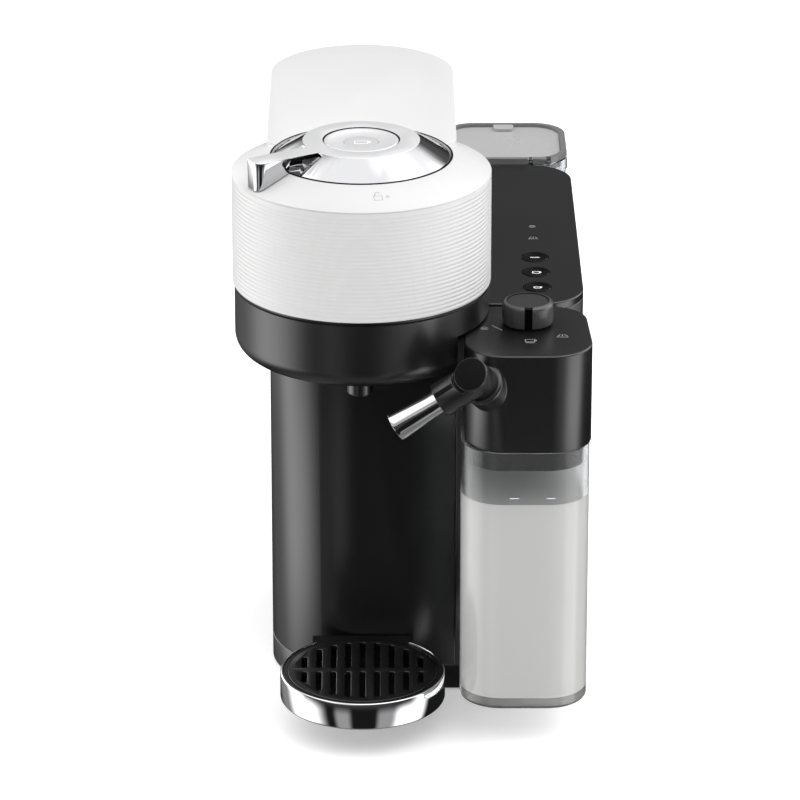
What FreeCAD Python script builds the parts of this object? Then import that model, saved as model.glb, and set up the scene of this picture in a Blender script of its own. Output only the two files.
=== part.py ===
"""Pod coffee machine with a milk jug, as separate pieces, in millimetres.

Every piece is drawn in head coordinates: X = Y = 0 is the axis of the round head and
Z = 0 is the table. +X is the machine's right side as its user sees it, -Y is its front.
export() then moves each piece so that the origin is the middle of the whole footprint.
"""
import FreeCAD, Part
import math
import os

V = FreeCAD.Vector
UP = V(0, 0, 1)

# the middle of the whole footprint, in head coordinates
FOOTPRINT_MID = V(26.7, 107.82, 0)

# moulded parts
WALL = 2.4
GAP = 0.3                 # between pieces that move against each other
SEAM = 0.15               # between fixed covers

# head: black bowl below, white ribbed lid above, lever and brew button on top
HEAD_R = 70.0
BOWL_R = 69.0
BOWL_EDGE_R = 11.0
BOWL_BOTTOM = 209.6
BOWL_TOP = 248.4
RIM_GROOVE = (1.2, 1.6)   # dark line under the lid: how far in, how far down
LID_BOTTOM = 249.2
RIM_Z = 311.0
CROWN_Z = 319.8           # flat top of the neck, and upper edge of the sloping rim
GROOVE_R = 48.4
RIB_PITCH = 2.3
RIB_DEPTH = 0.55
LID_WALL = 2.6

# neck and column
NECK_HALF = 51.5
NECK_ROUND_Y = 144.8      # centre of the neck's round rear end
NECK_REAR = NECK_ROUND_Y + NECK_HALF
SHOULDER_R = 8.0
HINGE_Y = 183.0
HINGE_Z = 255.0
FRONT_Y = 5.5
FRONT_CORNER_R = 50.0
PLINTH_BOTTOM = 3.0
SKIRT_BOTTOM = 1.4        # lower edge of the wall around the base
PLINTH_TOP = 16.0
COLUMN_TOP = 247.0
COLUMN_END_Y = 128.0      # the capsule container starts here

# block on the right with the buttons
BLOCK_LEFT = NECK_HALF + SEAM
BLOCK_INNER_LEFT = 46.2   # beside the capsule container
BLOCK_RIGHT = 121.6
BLOCK_REAR = 238.5
BLOCK_CORNER_R = 25.0
BLOCK_TOP = 232.0
PANEL_T = 4.0
SIDE_RELIEF_Z = 232.6     # the bowl is cut back above the block and the milk lid
BUTTON_X = 96.4
RECIPE_BUTTONS = {"large_cup_button": 79.4, "small_cup_button": 55.2, "foam_cup_button": 31.4}
RECIPE_BUTTON_R = 7.75
STATUS_LIGHT_Y = (112.0, 131.0)
STATUS_LIGHT_R = 3.0
BOARD_T = 1.6

# water tank
TANK_X = (47.0, 121.0)
TANK_Y = (240.0, 309.0)
TANK_Z = (16.4, 231.0)
TANK_CORNER_R = 20.0
TANK_LID_T = 4.0
TANK_VALVE_AT = (84.0, 262.0)
TANK_WALL = 3.0
TANK_HINGE = (242.2, 234.0)             # Y and Z of the lid's hinge axis
TANK_HINGE_R = 1.6
TANK_KNUCKLES = ((60.0, 68.0), (100.0, 108.0))

# cup support
CUP_AT = (0.0, -41.0)
CUP_RING_R = 45.4
CUP_RING_Z = (19.1, 34.8)
GRID_T = 2.3
TONGUE_HALF = 22.0
TONGUE_Z = (21.0, 30.0)

# milk jug, its lid, its foam knob and its spout
JUG_X = (52.75, 123.65)
JUG_Y = (-72.0, 4.5)
JUG_Z = (24.6, 175.3)
JUG_BASE = 5.6
JUG_WALL = 2.2
JUG_CORNER_R = 23.0
MILK_LID_X = (54.4, 124.5)
MILK_LID_Z = (175.6, 231.0)
KNOB_AT = (89.5, -22.0)
KNOB_R = 13.9
KNOB_H = 13.0
KNOB_CAP_R = 11.0
DOCK_AT = (89.5, 205.0)   # X and Z of the steam nozzle
SPOUT_PIVOT = V(60.7, -80.0, 221.6)
SPOUT_YAW = 24.4          # degrees, pivot axis turned from -Y towards -X
SPOUT_TILT = 34.7         # degrees, pivot axis raised above the horizontal
SPOUT_FALL = 40.5         # degrees, spout turned down about the pivot axis
BOSS_R = 11.6
BOSS_END = 8.3            # boss face, behind the pivot point
CAP_END = 9.8             # flat end of the knuckle, in front of the pivot point
KNUCKLE_R = 9.1
COLLAR_R = 11.0           # the sleeve is cut back around the flat end
COLLAR_DEPTH = 3.0
SLEEVE_R = 9.4
SLEEVE_LENGTH = 22.9
TUBE_R = 6.5
TUBE_MOUTH_R = 8.2
TUBE_START = 12.0
TUBE_LENGTH = 50.4
MILK_CHANNEL_R = 2.6
SUCTION_AT = (108.0, -9.0)

# brewing parts
HOLDER_TOP = 246.8
PULLEY_R = 31.0
MOTOR_AT = (0.0, 100.0)
MOTOR_PULLEY_R = 10.0
BELT_T = 1.4
BELT_Z = (225.2, 229.4)
OUTLET_AT = (-1.0, -41.0)
OUTLET_BOTTOM = 198.6
OUTLET_R = 6.9

# lever, in lid coordinates around the head axis
LEVER_TOP = 328.2
LEVER_FLAT_R = 31.0
LEVER_ANGLE = -147.5
LEVER_TIP = 68.6
LEVER_WIDTH = 12.6
BREW_BUTTON_R = 20.1
BUTTON_UNDERSIDE = 323.5
POST_R = 24.0


# ---- small helpers -------------------------------------------------------------

def inset(corners, distance):
    """Corners (x, y, radius), anticlockwise, moved inwards by a distance."""
    moved = []
    for i, (x, y, radius) in enumerate(corners):
        before = V(*corners[i - 1][:2], 0)
        after = V(*corners[(i + 1) % len(corners)][:2], 0)
        here = V(x, y, 0)
        arrive = (here - before).normalize()
        leave = (after - here).normalize()
        normal_in, normal_out = UP.cross(arrive), UP.cross(leave)
        spot = here + (normal_in + normal_out) * (distance / (1 + normal_in.dot(normal_out)))
        turns_left = arrive.cross(leave).z > 0
        new_radius = max(radius - distance, 0.0) if turns_left else radius + distance
        moved.append((spot.x, spot.y, new_radius))
    return moved


def outline(corners):
    """A face whose corners (x, y, radius) are rounded."""
    edges, first, last = [], None, None
    for i, (x, y, radius) in enumerate(corners):
        here = V(x, y, 0)
        back = (V(*corners[i - 1][:2], 0) - here).normalize()
        ahead = (V(*corners[(i + 1) % len(corners)][:2], 0) - here).normalize()
        half = back.getAngle(ahead) / 2
        start, end = here, here
        if radius > 0.01:
            start = here + back * (radius / math.tan(half))
            end = here + ahead * (radius / math.tan(half))
            middle = here + (back + ahead).normalize() * (radius / math.sin(half) - radius)
        if last and last.distanceToPoint(start) > 1e-4:
            edges.append(Part.LineSegment(last, start).toShape())
        if radius > 0.01:
            edges.append(Part.Arc(start, middle, end).toShape())
        first = first or start
        last = end
    if last.distanceToPoint(first) > 1e-4:
        edges.append(Part.LineSegment(last, first).toShape())
    return Part.Face(Part.Wire(edges))


def slab(corners, z_low, z_high):
    face = outline(corners)
    face.translate(V(0, 0, z_low))
    return face.extrude(V(0, 0, z_high - z_low))


def shell(corners, z_low, z_high, wall=WALL):
    """Walls only, open above and below."""
    return slab(corners, z_low, z_high).cut(slab(inset(corners, wall), z_low - 1, z_high + 1))


def box(x, y, z):
    return Part.makeBox(x[1] - x[0], y[1] - y[0], z[1] - z[0], V(x[0], y[0], z[0]))


def disc(radius, z_low, z_high, at=(0, 0)):
    return Part.makeCylinder(radius, z_high - z_low, V(at[0], at[1], z_low))


def ring(inner, outer, z_low, z_high, at=(0, 0)):
    return disc(outer, z_low, z_high, at).cut(disc(inner, z_low - 1, z_high + 1, at))


def rod(start, end, radius):
    return Part.makeCylinder(radius, start.distanceToPoint(end), start, end - start)


def turned(profile, at=(0, 0), spin=360):
    """A closed (radius, z) profile turned about a vertical axis."""
    points = [V(r, 0, z) for r, z in profile]
    face = Part.Face(Part.makePolygon(points + points[:1]))
    solid = face.revolve(V(0, 0, 0), UP, spin)
    solid.translate(V(at[0], at[1], 0))
    return solid


def rectangle(x, y, radius):
    return [(x[0], y[0], radius), (x[1], y[0], radius), (x[1], y[1], radius), (x[0], y[1], radius)]


def hose(points, radius, bend):
    """A round hose along straight runs joined by arcs of one radius."""
    edges, last = [], points[0]
    for before, here, after in zip(points, points[1:], points[2:]):
        back, ahead = (before - here).normalize(), (after - here).normalize()
        half = back.getAngle(ahead) / 2
        start, end = here + back * (bend / math.tan(half)), here + ahead * (bend / math.tan(half))
        middle = here + (back + ahead).normalize() * (bend / math.sin(half) - bend)
        edges.append(Part.LineSegment(last, start).toShape())
        edges.append(Part.Arc(start, middle, end).toShape())
        last = end
    edges.append(Part.LineSegment(last, points[-1]).toShape())
    path = Part.Wire(edges)
    section = Part.Wire(Part.makeCircle(radius, points[0], points[1] - points[0]))
    return path.makePipeShell([section], True, False)


def rounded(solid, radius, picks):
    """The solid with the edges that picks(edge) chooses filleted."""
    return solid.makeFillet(radius, [edge for edge in solid.Edges if picks(edge)])


def joined(shapes):
    return shapes[0].multiFuse(shapes[1:]).removeSplitter()


def flat_at(z):
    return lambda edge: abs(edge.BoundBox.ZMin - z) < 1e-4 and abs(edge.BoundBox.ZMax - z) < 1e-4


# ---- base and housings -------------------------------------------------------------

BASE_PLAN = [(-NECK_HALF, FRONT_Y, FRONT_CORNER_R), (BLOCK_RIGHT, FRONT_Y, BLOCK_CORNER_R),
             (BLOCK_RIGHT, TANK_Y[1], TANK_CORNER_R), (TANK_X[0], TANK_Y[1], TANK_CORNER_R),
             (TANK_X[0], NECK_REAR, SHOULDER_R), (-NECK_HALF, NECK_REAR, NECK_HALF - 1)]
COLUMN_PLAN = [(-NECK_HALF, FRONT_Y, FRONT_CORNER_R), (NECK_HALF, FRONT_Y, 0),
               (NECK_HALF, COLUMN_END_Y, 0), (-NECK_HALF, COLUMN_END_Y, 0)]
BLOCK_PLAN = [(BLOCK_LEFT, FRONT_Y, 0), (BLOCK_RIGHT, FRONT_Y, BLOCK_CORNER_R),
              (BLOCK_RIGHT, BLOCK_REAR, BLOCK_CORNER_R - 1), (BLOCK_INNER_LEFT, BLOCK_REAR, 4),
              (BLOCK_INNER_LEFT, COLUMN_END_Y, 0), (BLOCK_LEFT, COLUMN_END_Y, 0)]
FEET_AT = [(-28, 48), (100, 26), (100, 288), (66, 288), (-26, 160)]
FOOT_R = 8.0
GLAND_R = 5.5


def base_plate():
    tray = slab(BASE_PLAN, PLINTH_BOTTOM, PLINTH_TOP - SEAM)
    inner = slab(inset(BASE_PLAN, WALL), PLINTH_BOTTOM + 3, PLINTH_TOP + 1)
    skirt = shell(BASE_PLAN, SKIRT_BOTTOM, PLINTH_BOTTOM + 1)
    tray = joined([tray.cut(inner), skirt])
    for spot in FEET_AT:
        tray = tray.cut(disc(FOOT_R + 0.1, 0, PLINTH_BOTTOM + 1, spot))
    for i in range(6):
        slot_y = 190 + 6 * i
        tray = tray.cut(box((62, 100), (slot_y, slot_y + 2.5), (0, 10)))
    return tray.cut(rod(V(10, NECK_REAR - 8, 9.5), V(10, NECK_REAR + 4, 9.5), GLAND_R))


def rubber_feet():
    top = PLINTH_BOTTOM + 1
    profile = [(0, 0), (FOOT_R - 1, 0), (FOOT_R, 1), (FOOT_R, top), (0, top)]
    return Part.makeCompound([turned(profile, spot) for spot in FEET_AT])


def power_inlet():
    """Cable gland in the rear of the plinth, closed because no cable is drawn."""
    body = rod(V(10, NECK_REAR - 7, 9.5), V(10, NECK_REAR + 1.2, 9.5), GLAND_R - 0.05)
    return body.cut(rod(V(10, NECK_REAR - 0.8, 9.5), V(10, NECK_REAR + 9, 9.5), 3.6))


def column_shell():
    walls = shell(COLUMN_PLAN, PLINTH_TOP, COLUMN_TOP)
    walls = walls.cut(box((-NECK_HALF + WALL, NECK_HALF - WALL), (60, COLUMN_END_Y + 1), (0, 300)))
    walls = walls.cut(disc(BOWL_R + GAP, BOWL_BOTTOM - GAP, 300))
    walls = walls.cut(box((20, 60), (50, 110), (50, 200)))
    slot = box((-TONGUE_HALF - GAP, TONGUE_HALF + GAP), (0, 16), (TONGUE_Z[0] - GAP, TONGUE_Z[1] + GAP))
    return walls.cut(slot)


def side_housing():
    walls = shell(BLOCK_PLAN, PLINTH_TOP, BLOCK_TOP - PANEL_T - SEAM)
    walls = walls.cut(box((50, 60), (50, 110), (50, 200)))
    dock = rod(V(DOCK_AT[0], 0, DOCK_AT[1]), V(DOCK_AT[0], 20, DOCK_AT[1]), 9.1)
    return walls.cut(dock)


def control_panel():
    panel = slab(BLOCK_PLAN, BLOCK_TOP - PANEL_T, BLOCK_TOP)
    panel = rounded(panel, 0.8, flat_at(BLOCK_TOP))
    panel = panel.cut(slab(inset(BLOCK_PLAN, WALL), BLOCK_TOP - PANEL_T - 1, BLOCK_TOP - 2.4))
    for y in RECIPE_BUTTONS.values():
        panel = panel.cut(disc(RECIPE_BUTTON_R + GAP, 200, 300, (BUTTON_X, y)))
    for y in STATUS_LIGHT_Y:
        panel = panel.cut(disc(STATUS_LIGHT_R, 200, 300, (BUTTON_X, y)))
    return panel


def status_lights():
    lenses = [disc(STATUS_LIGHT_R - 0.05, BLOCK_TOP - 3.4, BLOCK_TOP - 0.1, (BUTTON_X, y))
              for y in STATUS_LIGHT_Y]
    return Part.makeCompound(lenses)


def recipe_button(y):
    """Push button with a dished top and a stem that stops above the board."""
    top = BLOCK_TOP + 0.5
    dish = [(0, top - 0.7), (3, top - 0.6), (6, top - 0.15), (7.1, top), (RECIPE_BUTTON_R, top - 0.6)]
    flange = [(RECIPE_BUTTON_R, BLOCK_TOP - 2.7), (RECIPE_BUTTON_R + 1.6, BLOCK_TOP - 2.7),
              (RECIPE_BUTTON_R + 1.6, BLOCK_TOP - 4.0)]
    stem = [(2.2, BLOCK_TOP - 4.0), (2.2, BLOCK_TOP - 9), (0, BLOCK_TOP - 9)]
    return turned(dish + flange + stem, (BUTTON_X, y))


def control_board():
    """Circuit board that hangs from the panel on four posts."""
    top = BLOCK_TOP - 12.9
    board = box((BUTTON_X - 16, BUTTON_X + 14), (18, 142), (top - BOARD_T, top))
    switches = [disc(3.4, top, top + 2.5, (BUTTON_X, y)) for y in RECIPE_BUTTONS.values()]
    leads = [disc(2.0, top, BLOCK_TOP - 3.5, (BUTTON_X, y)) for y in STATUS_LIGHT_Y]
    posts = [disc(2.5, top, BLOCK_TOP - 2.4, (BUTTON_X + x, y)) for x in (-13, 11) for y in (21, 139)]
    return joined([board] + switches + leads + posts)


def chassis_frame():
    """Bulkhead in front of the capsule container and the deck that carries the bowl."""
    half = NECK_HALF - WALL - SEAM
    deck_z = (BOWL_BOTTOM - 4, BOWL_BOTTOM - 0.1)
    plate = box((-half, half), (COLUMN_END_Y - 3.5, COLUMN_END_Y - 0.5), (PLINTH_BOTTOM + 3, BOWL_BOTTOM))
    deck = box((-half, half), (FRONT_Y + WALL + 0.2, COLUMN_END_Y - 3), deck_z)
    corner_cut = slab(inset(COLUMN_PLAN, WALL + SEAM), deck_z[0] - 1, deck_z[1] + 1)
    deck = deck.common(corner_cut).cut(disc(18, 200, 230, MOTOR_AT))
    post_z = (PLINTH_BOTTOM + 3, deck_z[0])
    posts = [box((x, x + 4), (FRONT_Y + 24, FRONT_Y + 30), post_z) for x in (-40, 38)]
    frame = joined([plate, deck] + posts)
    hose_hole = box((-47, -39), (58, 112), (190, 230))
    return frame.cut(box((22, 46), (120, 130), (60, 120))).cut(hose_hole)


# ---- head bowl and brewing parts ------------------------------------------------------

def bowl_body(radius, low, edge, top):
    """Filled bowl with a rounded lower edge."""
    return rounded(disc(radius, low, top), edge, flat_at(low))


def head_bowl():
    """Round bowl, cut back beside the block, with a bearing seat and a window for the belt."""
    relief = box((NECK_HALF, 90), (-90, 90), (200, SIDE_RELIEF_Z))
    inner_relief = box((NECK_HALF - WALL, 90), (-90, 90), (200, SIDE_RELIEF_Z + WALL))
    outer = bowl_body(BOWL_R, BOWL_BOTTOM, BOWL_EDGE_R, BOWL_TOP).cut(relief)
    inner = bowl_body(BOWL_R - WALL, BOWL_BOTTOM + WALL, BOWL_EDGE_R - WALL, BOWL_TOP + 1).cut(inner_relief)
    seat = ring(29.05, 31.5, BOWL_BOTTOM + 1, 223.6)
    window = box((-26, 26), (30, 80), (224.0, 230.6)).cut(disc(40, 200, 240))
    groove_in, groove_down = RIM_GROOVE
    groove = ring(BOWL_R - groove_in, BOWL_R + 1, BOWL_TOP - groove_down, BOWL_TOP + 1)
    bowl = joined([outer.cut(inner), seat]).cut(window).cut(groove)
    return bowl.cut(disc(5.1, 200, 230, OUTLET_AT))


def holder_bearing():
    return ring(24.05, 29.0, BOWL_BOTTOM + WALL, 223.4)


def capsule_holder():
    """Spinning cup for the capsule, with the belt pulley around its foot."""
    return turned([(0, 219.2), (24.0, 219.2), (24.0, 223.9), (PULLEY_R, 224.6), (PULLEY_R, 230.0),
                   (27.5, 230.4), (34.5, 243.2), (35.4, 243.2), (35.4, HOLDER_TOP), (31.2, HOLDER_TOP),
                   (30.0, 243.6), (28.5, 237.0), (24.0, 228.5), (16.0, 223.4), (0, 221.6)])


def coffee_collector():
    """Ring trough around the holder; it drains into the outlet."""
    low = SIDE_RELIEF_Z + WALL + 0.2
    trough = turned([(37.0, low), (64.8, low), (64.8, 246.2), (62.8, 246.2), (62.8, low + 2),
                     (39.0, low + 2), (39.0, 244.0), (37.0, 244.0)])
    pipe = disc(5.0, BOWL_BOTTOM - 1.8, low + 1, OUTLET_AT)
    return joined([trough, pipe]).cut(disc(3.2, 200, 240, OUTLET_AT))


def coffee_outlet():
    """Nozzle under the bowl, with the small square guide beside it."""
    seat_z = BOWL_BOTTOM - 1.9
    nozzle = turned([(3.8, OUTLET_BOTTOM), (OUTLET_R - 0.6, OUTLET_BOTTOM), (OUTLET_R, OUTLET_BOTTOM + 0.8),
                     (OUTLET_R, BOWL_BOTTOM), (5.1, BOWL_BOTTOM), (5.1, seat_z), (3.8, seat_z)], OUTLET_AT)
    x, y = OUTLET_AT
    foot = box((x + 8, x + 14.5), (y - 3, y + 6), (BOWL_BOTTOM - 8, BOWL_BOTTOM))
    neck = box((x + 5, x + 9), (y - 2, y + 4), (BOWL_BOTTOM - 5, BOWL_BOTTOM))
    neck = neck.cut(disc(5.1, 190, 220, OUTLET_AT))
    return joined([nozzle, neck, foot])


def spin_motor():
    can = disc(16.5, 162, BOWL_BOTTOM, MOTOR_AT)
    flange = disc(22, BOWL_BOTTOM - 0.1, BOWL_BOTTOM + WALL, MOTOR_AT)
    tail = disc(6, 156, 162, MOTOR_AT)
    return joined([can, flange, tail]).cut(disc(2.6, 205, 230, MOTOR_AT))


def motor_pulley():
    """Pulley and shaft of the motor, one turning piece."""
    pulley = disc(MOTOR_PULLEY_R, 223.6, 230.4, MOTOR_AT)
    hub = disc(4.5, 219.0, 223.6, MOTOR_AT)
    shaft = disc(2.5, 206, 231.4, MOTOR_AT)
    return joined([pulley, hub, shaft])


def belt_loop(offset, z_low, z_high):
    """Filled outline of a belt around both pulleys, at a distance from them."""
    big, small, span = PULLEY_R + offset, MOTOR_PULLEY_R + offset, MOTOR_AT[1]
    lean = math.asin((big - small) / span)
    side = V(math.cos(lean), math.sin(lean), 0)
    far = V(0, span, 0)
    a, b = side * big, far + side * small
    mirror = lambda p: V(-p.x, p.y, 0)
    edges = [Part.LineSegment(a, b), Part.Arc(b, far + V(0, small, 0), mirror(b)),
             Part.LineSegment(mirror(b), mirror(a)), Part.Arc(mirror(a), V(0, -big, 0), a)]
    face = Part.Face(Part.Wire([edge.toShape() for edge in edges]))
    face.translate(V(0, 0, z_low))
    return face.extrude(V(0, 0, z_high - z_low))


def drive_belt():
    outer = belt_loop(BELT_T + 0.1, *BELT_Z)
    return outer.cut(belt_loop(0.1, BELT_Z[0] - 1, BELT_Z[1] + 1))


# ---- neck deck, capsule container and its chute --------------------------------------

NECK_PLAN = [(-NECK_HALF, 0, 0), (NECK_HALF, 0, 0),
             (NECK_HALF, NECK_REAR, NECK_HALF - 0.05), (-NECK_HALF, NECK_REAR, NECK_HALF - 0.05)]
CONTAINER_Z = (16.6, 231.6)
CHUTE_HALF = 33.5
CHUTE_Y = (72.0, 172.0)
EAR_X = (12.5, 18.0)
EAR_R = 5.0
PIN_R = 2.5
REAR_DECK_TOP = 240.5


def wedge(x, side):
    """Prism along X over a polygon of (y, z) points."""
    points = [V(x[0], y, z) for y, z in side]
    return Part.Face(Part.makePolygon(points + points[:1])).extrude(V(x[1] - x[0], 0, 0))


def deck_plates():
    """Flat top, rear step and rear skirt of the column, kept clear of the bowl and the walls."""
    top = slab(NECK_PLAN, COLUMN_TOP - WALL, COLUMN_TOP).common(box((-60, 60), (0, 166), (200, 260)))
    skirt = slab(NECK_PLAN, CONTAINER_Z[1] + 0.7, COLUMN_TOP).cut(slab(inset(NECK_PLAN, WALL), 200, 300))
    skirt = skirt.common(box((-60, 60), (COLUMN_END_Y + SEAM, 250), (200, 260)))
    rear = slab(NECK_PLAN, REAR_DECK_TOP - 3, REAR_DECK_TOP).common(box((-60, 60), (163, 250), (200, 260)))
    step = box((-NECK_HALF + 8, NECK_HALF - 8), (163, 166), (REAR_DECK_TOP - 3, COLUMN_TOP))
    deck = joined([top, skirt, rear, step]).cut(box((-60, 60), (166, 260), (REAR_DECK_TOP, 300)))
    between_walls = NECK_HALF - WALL - SEAM
    beside = box((-60, 60), (0, COLUMN_END_Y), (200, 300)).cut(
        box((-between_walls, between_walls), (FRONT_Y + FRONT_CORNER_R, 200), (199, 301)))
    return deck.cut(beside)


def capsule_chute():
    """Sloping floor and cheeks that lead a used capsule back to its container."""
    outer = CHUTE_HALF + 2
    floor = wedge((-outer, outer), [(71, 243), (71, 245.6), (124, 233.4), (124, 230.9)])
    below = wedge((-60, 60), [(70, 243), (70, 200), (130, 200), (130, 229.5)])
    cheeks = [box((x, x + 2), (71, 124), (230.9, COLUMN_TOP - 1)).cut(below) for x in (-outer, CHUTE_HALF)]
    return [floor] + cheeks


def hinge_ears():
    """Two ears around the lid's hinge pin, low at the rear so that the open lid clears them."""
    ears = []
    for x in ((EAR_X[0], EAR_X[1]), (-EAR_X[1], -EAR_X[0])):
        ears.append(box(x, (HINGE_Y - EAR_R, HINGE_Y + 1), (REAR_DECK_TOP - 1, HINGE_Z)))
        ears.append(rod(V(x[0], HINGE_Y, HINGE_Z), V(x[1], HINGE_Y, HINGE_Z), EAR_R))
    return ears


def neck_deck():
    """Top of the column under the lid: capsule chute, rear skirt and hinge ears."""
    deck = deck_plates().cut(box((-CHUTE_HALF, CHUTE_HALF), CHUTE_Y, (200, 300)))
    deck = joined([deck] + capsule_chute() + hinge_ears())
    deck = deck.cut(disc(BOWL_R + GAP, 200, 300))
    return deck.cut(rod(V(-60, HINGE_Y, HINGE_Z), V(60, HINGE_Y, HINGE_Z), PIN_R + 0.02))


CONTAINER_PLAN = [(-NECK_HALF, COLUMN_END_Y + 0.6, 1.5), (45.4, COLUMN_END_Y + 0.6, 1.5),
                  (45.4, NECK_REAR, 32), (-NECK_HALF, NECK_REAR, NECK_HALF - 0.05)]


def capsule_container():
    """Bin for used capsules with a finger hollow in its rear wall; it pulls out to the rear."""
    body = slab(CONTAINER_PLAN, *CONTAINER_Z)
    body = rounded(body, 1.2, flat_at(CONTAINER_Z[0]))
    body = body.cut(slab(inset(CONTAINER_PLAN, WALL), CONTAINER_Z[0] + WALL, 300))
    hollow_at = V(-3, NECK_REAR + 12, 205)
    hollow = Part.makeSphere(24, hollow_at)
    skin = Part.makeSphere(24 + WALL, hollow_at).cut(hollow)
    skin = skin.common(slab(inset(CONTAINER_PLAN, 0.2), 170, 229))
    return joined([body.cut(hollow), skin])


# ---- lid --------------------------------------------------------------------------

def head_plan(radius, half, z_low, z_high, shoulder):
    """Round head and straight neck in one, with rounded shoulders."""
    head = disc(radius, z_low, z_high)
    rear, turn = NECK_ROUND_Y + half, half - 0.05
    neck = slab([(-half, 0, 0), (half, 0, 0), (half, rear, turn), (-half, rear, turn)], z_low, z_high)
    both = joined([head, neck])
    corner_y = math.sqrt(radius ** 2 - half ** 2)

    def at_shoulder(edge):
        middle = edge.BoundBox.Center
        upright = edge.BoundBox.XLength < 1e-4 and edge.BoundBox.YLength < 1e-4
        return upright and abs(abs(middle.x) - half) < 0.1 and abs(middle.y - corner_y) < 0.1
    return rounded(both, shoulder, at_shoulder)


def lid_slopes():
    """What is cut from the lid's top so that the head slopes down from the lever to the rim."""
    cone = Part.makeCone(HEAD_R, GROOVE_R, CROWN_Z - RIM_Z, V(0, 0, RIM_Z))
    stays = slab([(-NECK_HALF, 12, 17), (NECK_HALF, 12, 17), (NECK_HALF, 300, 0), (-NECK_HALF, 300, 0)],
                 RIM_Z - 1, CROWN_Z + 1)
    cut = disc(HEAD_R + 20, RIM_Z, CROWN_Z + 1).cut(cone).cut(stays)
    return cut.cut(disc(GROOVE_R, CROWN_Z, CROWN_Z + 2))


def top_cover():
    """White cover of head and neck, open below, with a round opening for the lever."""
    cover = head_plan(HEAD_R, NECK_HALF, LID_BOTTOM, CROWN_Z, SHOULDER_R)
    cover = cover.cut(lid_slopes())
    t = LID_WALL
    hollow = head_plan(HEAD_R - 2 * t, NECK_HALF - t, LID_BOTTOM - 1, RIM_Z - t, SHOULDER_R + t)
    half, rear = NECK_HALF - t, NECK_REAR - t
    turn = half - 0.05
    neck_hollow = slab([(-half, 55, 6), (half, 55, 6), (half, rear, turn), (-half, rear, turn)],
                       RIM_Z - 4, CROWN_Z - t)
    cover = cover.cut(hollow).cut(neck_hollow)
    band_seat = ring(HEAD_R - LID_WALL, HEAD_R + 5, LID_BOTTOM - 1, RIM_Z - 0.4).cut(band_stop())
    cover = cover.cut(band_seat)
    cover = cover.cut(disc(GROOVE_R, RIM_Z, 340))
    return cover.cut(disc(GROOVE_R - 2.2, RIM_Z - 10, 340))


def band_stop():
    """The part of the head where the neck is, which the ribbed band leaves free."""
    return box((-NECK_HALF - 6, NECK_HALF + 6), (30, 100), (200, 340))


def ribbed_band():
    """Ribbed band around the head, up to the neck."""
    z, outer = LID_BOTTOM, []
    while z + RIB_PITCH < RIM_Z - 1.2:
        outer += [(HEAD_R - RIB_DEPTH, z), (HEAD_R - 0.05, z + 0.55 * RIB_PITCH),
                  (HEAD_R, z + 0.75 * RIB_PITCH)]
        z += RIB_PITCH
    outer += [(HEAD_R - RIB_DEPTH, z), (HEAD_R, z + 0.6), (HEAD_R, RIM_Z - 0.5)]
    band = turned([(HEAD_R - 2.5, LID_BOTTOM)] + outer + [(HEAD_R - 2.5, RIM_Z - 0.5)])
    return band.cut(band_stop())


def lid_frame():
    """Inner plate of the lid: carries the clamp bearing and the hinge knuckle."""
    inner_half = NECK_HALF - LID_WALL - SEAM
    plate = head_plan(HEAD_R - 2 * LID_WALL - SEAM, inner_half, LID_BOTTOM + 0.3, LID_BOTTOM + 2.8,
                      SHOULDER_R + 3)
    plate = plate.cut(disc(36.4, 200, 300))
    hat = ring(36.4, 38.6, LID_BOTTOM + 0.3, 258.0)
    crown = ring(15.0, 38.6, 255.6, 258.0)
    ears_room = box((-EAR_X[1] - 1, EAR_X[1] + 1), (HINGE_Y - 13, NECK_REAR), (240, LID_BOTTOM + 4))
    knuckle_half = EAR_X[0] - GAP
    lug = box((-knuckle_half, knuckle_half), (HINGE_Y - 16, HINGE_Y), (LID_BOTTOM + 0.3, HINGE_Z + EAR_R))
    barrel = rod(V(-knuckle_half, HINGE_Y, HINGE_Z), V(knuckle_half, HINGE_Y, HINGE_Z), EAR_R)
    frame = joined([plate.cut(ears_room), hat, crown, lug, barrel])
    relief = box((-EAR_X[1] - 1, EAR_X[1] + 1), (HINGE_Y - EAR_R - 0.8, 260), (240, LID_BOTTOM + 3))
    frame = frame.cut(relief.cut(barrel))
    return frame.cut(rod(V(-60, HINGE_Y, HINGE_Z), V(60, HINGE_Y, HINGE_Z), PIN_R + 0.05))


def hinge_pin():
    return rod(V(-EAR_X[1] - 2, HINGE_Y, HINGE_Z), V(EAR_X[1] + 2, HINGE_Y, HINGE_Z), PIN_R)


def clamp_bearing():
    return ring(10.05, 15.0, 255.6, 261.6)


def clamp_plate():
    """Turning plate that presses on the capsule's rim."""
    return turned([(2.0, 247.4), (33.8, 247.4), (35.6, 249.4), (35.6, 251.4), (12.0, 252.6), (12.0, 254.6),
                   (10.0, 254.6), (10.0, 263.0), (2.0, 263.0)])


def piercing_needle():
    """Hollow needle in the middle of the clamp plate."""
    return turned([(0.7, 241.4), (1.0, 241.0), (2.0, 245.6), (2.0, 265.5), (0.7, 265.5)])


def lid_hose():
    """Hose from the needle's swivel back to the hinge knuckle."""
    swivel = ring(2.1, 4.6, 263.2, 276.0)
    cap = disc(4.6, 276.0, 278.0)
    run = hose([V(0, 4.5, 272), V(0, 148, 272), V(0, 169, HINGE_Z + EAR_R + 2.3)], 2.4, 14)
    return joined([swivel, cap, run])


# ---- lever and brew button -----------------------------------------------------------

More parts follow.
